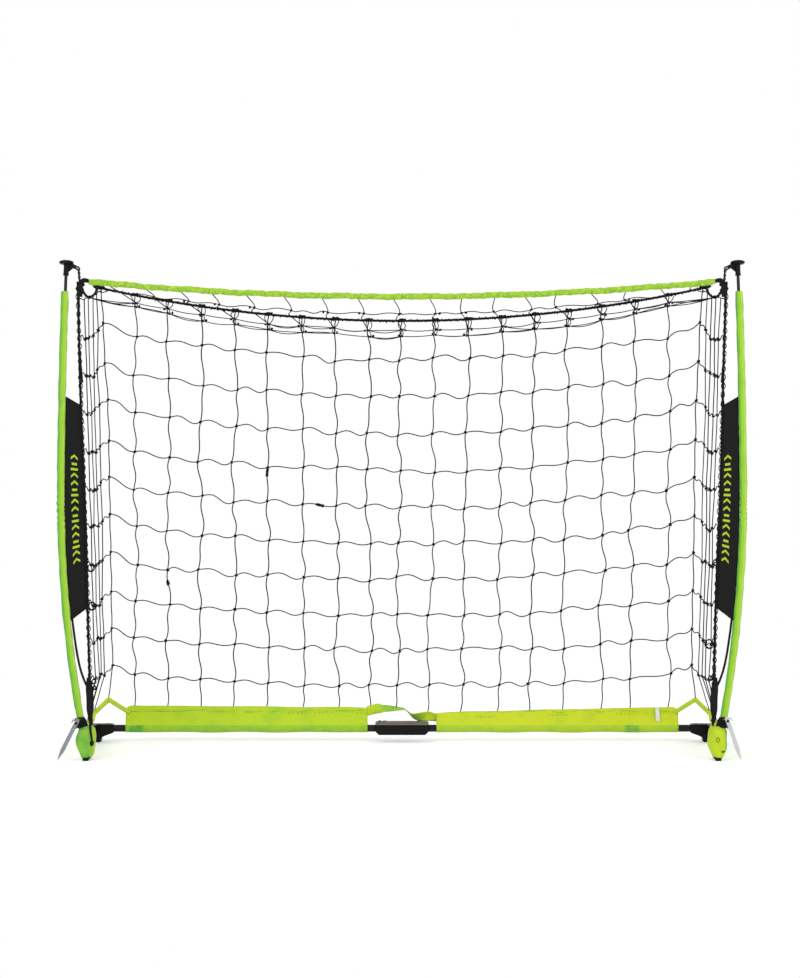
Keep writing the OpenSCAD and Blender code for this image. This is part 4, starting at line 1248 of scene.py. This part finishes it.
def makeGusset(side):
    k, g = sides[side], gusset
    length = g["high"] - g["low"]
    cloth = clothStrip(side + "Gusset", finish["blackPolyester"], lambda u, v: onGusset(k, u, v), g["width"], length,
                       12, 150, thick=g["thick"])
    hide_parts(side + "_gusset")
    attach(cloth, side + "_side")
    # rolled hems at both ends and along the rope
    hems = [[onGusset(k, i / 8, v, -0.0004) for i in range(9)] for v in (0.002, 0.998)]
    hems.append([onGusset(k, 0.985, v, -0.0004) for v in even(0.0, 1.0, 0.01)])
    hem = cordMesh(side + "GussetHem", finish["blackWebbing"], hems, 0.0026)
    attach(hem, side + "_side")
    # a plain printed row of chevrons and dashes, on both faces
    bm = bmesh.new()
    h, n = g["markLow"], 0
    while h < g["markHigh"]:
        v = (h - g["low"]) / length
        width = poleX(h) - g["sleeveGap"] - edgeX(h)
        half = 0.5 * min(g["markWidth"], width * 0.6) / width * (1.0 if n % 4 != 3 else 0.75)
        middle = g["middle"][side]
        tall = 0.0068 / length
        rise = 0.009 / length if n % 4 < 2 else 0.0
        for out in (-g["thick"] - 0.0005, g["thick"] + 0.0005):
            low, high = [], []
            for i in range(9):
                t = -1 + i / 4
                up = rise * (1 - abs(t))
                low.append(bm.verts.new(onGusset(k, middle + half * t, v + up, out)))
                high.append(bm.verts.new(onGusset(k, middle + half * t, v + up + tall, out)))
            for i in range(8):
                bm.faces.new((low[i], low[i + 1], high[i + 1], high[i]))
        h += g["markPitch"] * (1.15 if n % 4 < 2 else 0.8)
        n += 1
    marks = linkMesh(side + "GussetPrint", bm, finish["limeInk"], smooth=False)
    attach(marks, side + "_side")


for side in sides:
    makeGusset(side)
print("gussets ready")

# corner webbing, plug and knots where crossbar, rope and cap cord meet

cornerWeb = {
    # the strap's way over the plug and down, out, behind and up in the pole's plane
    "strapLine": [(0.832, 0, 1.2705), (0.8425, -0.001, 1.2745), (0.852, -0.003, 1.2735), (0.8572, -0.006, 1.264),
                  (0.8588, -0.006, 1.248), (0.8595, -0.004, 1.23)],
    "strap": 0.0135, "strapThick": 0.0022, "strapLength": 0.06,
    "plug": (0.8574, 1.2715), "button": (0.868, 1.253), "drop": 0.026, "seed": 61,
}


def flatWeb(name, mat, line, width, thick, facing, taper=None):
    # webbing along a line, its face towards facing
    line = smoothLine(line, 6)
    length = sum((b - a).length for a, b in zip(line, line[1:]))
    last = len(line) - 1

    def place(u, v):
        i = min(int(v * last), last - 1)
        p = line[i].lerp(line[i + 1], v * last - i)
        ahead = (line[i + 1] - line[i]).normalized()
        across = ahead.cross(facing).normalized()
        w = width * (taper(v) if taper else 1.0)
        return p + across * ((u - 0.5) * w) + facing * (0.0008 * sin(3.1 * u) + 0.0004 * sin(23 * v + 5 * u))

    return clothStrip(name, mat, place, width, length, 6, max(12, round(length / 0.003)), thick=thick)


def makeCornerWeb(side):
    k, s = sides[side], cornerWeb
    plugX, plugU = s["plug"]
    line = [leaned(k * x, y, u) for x, y, u in s["strapLine"]]
    strap = flatWeb(side + "CornerWebStrap", finish["blackWebbing"], line, s["strap"], s["strapThick"],
                    Vector((0, -1, 0)), taper=lambda v: 0.62 + 0.38 * min(1.0, v / 0.35))
    end = onNet(k * goal["ropeHalf"], ropeAt(goal["ropeHalf"]))
    top = leaned(k * (plugX - 0.001), 0, plugU - 0.012)
    low = (top + end) / 2
    low.z = min(top.z, end.z) - s["drop"]
    loop = [top, top.lerp(low, 0.5) + Vector((k * 0.004, 0, -0.004)), low + Vector((k * 0.004, 0, 0)),
            low + Vector((-k * 0.005, 0, 0.001)), end.lerp(low, 0.45) + Vector((-k * 0.004, 0, -0.004)),
            end + Vector((-k * 0.001, 0, 0.002))]
    web = cordMesh(side + "CornerWeb", finish["blackWebbing"],
                   strandsRound(smoothLine(loop, 6), 0.0016, 0.03, 2), 0.0052, 8)
    tied = [end, end + Vector((k * 0.006, 0, 0.003)), top + Vector((-k * 0.004, -0.002, 0.004))]
    knot = knotLumps(side + "CornerKnots", tied, 0.0058, s["seed"])
    bm = bmesh.new()
    turn = Matrix.Rotation(radians(90), 4, "X")
    for (x, u), y, segments, low, high, deep in ((s["plug"], -0.002, 28, 0.0058, 0.0052, 0.013),
                                                 (s["button"], -0.003, 24, 0.004, 0.0036, 0.009)):
        bmesh.ops.create_cone(bm, cap_ends=True, segments=segments, radius1=low, radius2=high, depth=deep,
                              matrix=Matrix.Translation(leaned(k * x, y, u)) @ turn)
    edges = [e for e in bm.edges if e.calc_length() < 0.004]
    bmesh.ops.bevel(bm, geom=edges, offset=0.0008, segments=3, affect="EDGES")
    plug = linkMesh(side + "CornerPlug", bm, finish["blackNylon"])
    # a small bright ring where the rope is tied in
    bright = [end + Vector((k * 0.01 + 0.0046 * cos(a), -0.004, 0.006 + 0.0038 * sin(a))) for a in ringAngles(16)]
    ring = cordMesh(side + "CornerRing", finish["zinc"], [bright], 0.0018)
    for obj in (strap, web, plug):
        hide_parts(side + "_corner_web")
    for obj in (strap, web, knot, plug, ring):
        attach(obj, side + "_side")


capCord = {
    # down from the cap's rivet to the corner webbing, out, behind and up in the pole's plane
    "line": [(0.8638, 0, 1.3068), (0.8632, -0.001, 1.2988)], "foot": (0.8606, -0.002, 1.2745),
}


def makeCapCord(side):
    k, s = sides[side], capCord
    x, y, u = s["foot"]
    low = leaned(k * x, y, u)
    line = [leaned(k * x, y, u) for x, y, u in s["line"]]
    line = smoothLine(line + [low + Vector((k * 0.001, 0, 0.006)), low], 10)
    cord = cordMesh(side + "CapCord", finish["rope"], strandsRound(line, 0.0021, 0.021, 2, 0.003 * k), 0.0038, 8)
    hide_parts(side + "_cap_cord")
    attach(cord, side + "_side")


for side in sides:
    makeCornerWeb(side)
    makeCapCord(side)
print("corner webs ready")

# stake ties: cord through each stake's eye and round the pole above the boot

stakeTie = {
    "eyeX": 0.8553, "eyeY": -0.24765, "eyeZ": {"left": 0.101, "right": 0.107},
    "cord": 0.004, "collar": 0.0146, "wrap": (0.0865, 0.1075), "knot": 0.0036, "seed": 71,
}


def makeStakeTie(side):
    k, s = sides[side], stakeTie
    z = s["eyeZ"][side]
    turns = []
    for i in range(81):
        a = 2 * pi * i / 16
        u = s["wrap"][0] + (s["wrap"][1] - s["wrap"][0]) * i / 80
        wide = s["collar"] + 0.0009 * sin(5 * a) - 0.0016 * i / 80
        turns.append(leaned(k * (poleX(u) + wide * cos(a)), -wide * sin(a), u))
    eye = Vector((k * s["eyeX"], s["eyeY"], z))
    through = smoothLine([eye + Vector((0, -0.0045, -0.001)), eye, eye + Vector((0, 0.007, 0)),
                          Vector((k * 0.856, -0.23, z + 0.003)), Vector((k * 0.853, -0.2215, 0.098)), turns[0]], 5)
    tie = cordMesh(side + "StakeTie", finish["rope"], [through, turns], s["cord"], 8)
    tied = [eye + Vector((0, -0.0048, -0.001)), turns[0] + Vector((k * 0.002, -0.002, 0)),
            turns[-1] + Vector((0, -0.003, 0.001))]
    knot = knotLumps(side + "StakeKnots", tied, s["knot"], s["seed"])
    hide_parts(side + "_stake_tie")
    for obj in (tie, knot):
        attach(obj, side + "_side")


for side in sides:
    makeStakeTie(side)
print("stake ties ready")

# webbing, loops and knots on the edge rope, and the blank label

edgeTrim = {
    # webbing beside the rope, as in from it and up, and under the gusset, as in from the pole's axis and up
    "upper": [(0.001, 1.262), (0.003, 1.2), (0.0055, 1.13), (0.0035, 1.06), (0.0, 1.0)],
    "lower": [(0.0135, 0.374), (0.0145, 0.33), (0.016, 0.285), (0.019, 0.245), (0.025, 0.212), (0.0335, 0.186)],
    "thick": 0.0014, "tabLow": 0.098, "tabHigh": 0.218, "tabWidth": 0.0195,
    # twine loops, as in from the rope, up and size
    "loops": {"left": [(-0.008, 0.506, 0.01), (-0.008, 0.405, 0.0108), (-0.006, 0.206, 0.0062), (-0.007, 0.19, 0.005)],
              "right": [(-0.012, 0.305, 0.012), (-0.003, 0.52, 0.0075), (-0.006, 0.215, 0.006)]},
    # on the left side a web hangs down to two knots, and the rope's tail is knotted below the boot's rim
    "drop": [(0.8205, -0.233, 0.09), (0.8175, -0.243, 0.074), (0.815, -0.244, 0.06), (0.814, -0.243, 0.05)],
    "dropKnots": [(0.8138, -0.2445, 0.05), (0.8165, -0.244, 0.047)],
    "tail": [(0.8145, -0.243, 0.052), (0.8115, -0.246, 0.047), (0.813, -0.245, 0.042), (0.8165, -0.245, 0.044),
             (0.815, -0.246, 0.052)],
}


def makeEdgeTrim(side):
    k, s = sides[side], edgeTrim
    ahead = Vector((0, -1, 0))
    upper = [leaned(k * (edgeX(u) - 0.0055 + inward), -0.003, u) for inward, u in s["upper"]]
    upper = flatWeb(side + "EdgeWebUpper", finish["blackWebbing"], upper, 0.005, s["thick"], ahead)
    lower = [leaned(k * (poleX(u) - inward), -0.003, u) for inward, u in s["lower"]]
    lower = flatWeb(side + "EdgeWebLower", finish["blackWebbing"], lower, 0.0062, s["thick"], ahead)
    tab = [leaned(k * (edgeX(u) + 0.0035 + 0.002 * sin(30 * u)), -0.0055, u)
           for u in even(s["tabHigh"], s["tabLow"], 0.02)]
    # widest at its middle
    tab = flatWeb(side + "EdgeTab", finish["blackWebbing"], tab, s["tabWidth"], 0.0016, ahead, taper=lambda v:
                  0.34 + 0.66 * min(1.0, sin(pi * min(1.0, max(0.0, v * 1.02 + 0.02))) * 1.35))
    pieces = [upper, lower, tab]
    rings = []
    for inward, u, size in s["loops"][side]:
        for turn in (0, 1):
            rings.append([leaned(k * (edgeX(u) - 0.004 + inward + size * (0.75 if turn else 1.0) * cos(a)),
                                 -0.006 + 0.004 * sin(a + turn), u + size * 0.95 * sin(a) + 0.002 * turn)
                          for a in ringAngles(18)])
    if side == "left":
        line = [leaned(k * (edgeX(0.108) + 0.0015), -0.006, 0.108)] + onSide(k, s["drop"])
        drop = flatWeb(side + "EdgeWebDrop", finish["blackWebbing"], line, 0.0072, s["thick"], ahead,
                       taper=lambda v: 1.0 - 0.35 * v)
    loops = cordMesh(side + "EdgeLoops", finish["netTwine"], rings, 0.0028)
    tied = [leaned(k * edgeX(u), -0.005, u) for u in (0.105, 0.235)]
    if side == "left":
        tied = onSide(k, s["dropKnots"]) + tied
    knot = knotLumps(side + "EdgeKnots", tied, 0.0048, 81)
    if side == "left":
        tail = smoothLine(onSide(k, s["tail"]), 6)
        end = cordMesh(side + "EdgeTail", finish["rope"], strandsRound(tail, 0.0011, 0.014, 2), 0.0024)
        pieces += [drop, end]
    pieces += [loops, knot]
    for obj in pieces:
        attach(obj, side + "_side")


skirtLabel = {"x": 0.7187, "top": 0.0975, "width": 0.011, "height": 0.04}


def makeLabel():
    s = skirtLabel

    def place(u, v):
        curl = 0.0035 * sin(2.6 * v) + 0.0006 * cos(5 * u)
        return Vector((s["x"] + (u - 0.5) * s["width"] + 0.001 * v, goal["barY"] - 0.0078 - curl,
                       s["top"] - s["height"] * v))

    label = clothStrip("skirtLabel", finish["whitePolyester"], place, s["width"], s["height"], 6, 16, thick=0.0004)
    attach(label, "right_bar")


# a stitched eyelet and the slot for the stake, on the right boot
bootMarks = {
    "eyelet": (0.829, -0.2482, 0.056), "wide": 0.0042, "tall": 0.0062, "curve": 0.0012,
    "slot": [(0.84, -0.2442, 0.0262), (0.8425, -0.244, 0.0243), (0.8455, -0.242, 0.0246), (0.848, -0.2395, 0.027)],
}


def makeBootMarks():
    s = bootMarks
    x, y, z = s["eyelet"]
    eyelet = [Vector((x + s["wide"] * cos(a), y - s["curve"] * abs(cos(a)), z + s["tall"] * sin(a)))
              for a in ringAngles(18)]
    slot = smoothLine(onSide(1, s["slot"]), 6)
    marks = cordMesh("rightBootMarks", finish["blackWebbing"], [eyelet], 0.0012)
    cut = cordMesh("rightBootSlot", finish["blackWebbing"], [slot], 0.0038)
    for obj in (marks, cut):
        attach(obj, "right_side")


for side in sides:
    makeEdgeTrim(side)
makeLabel()
makeBootMarks()
print("trim ready")
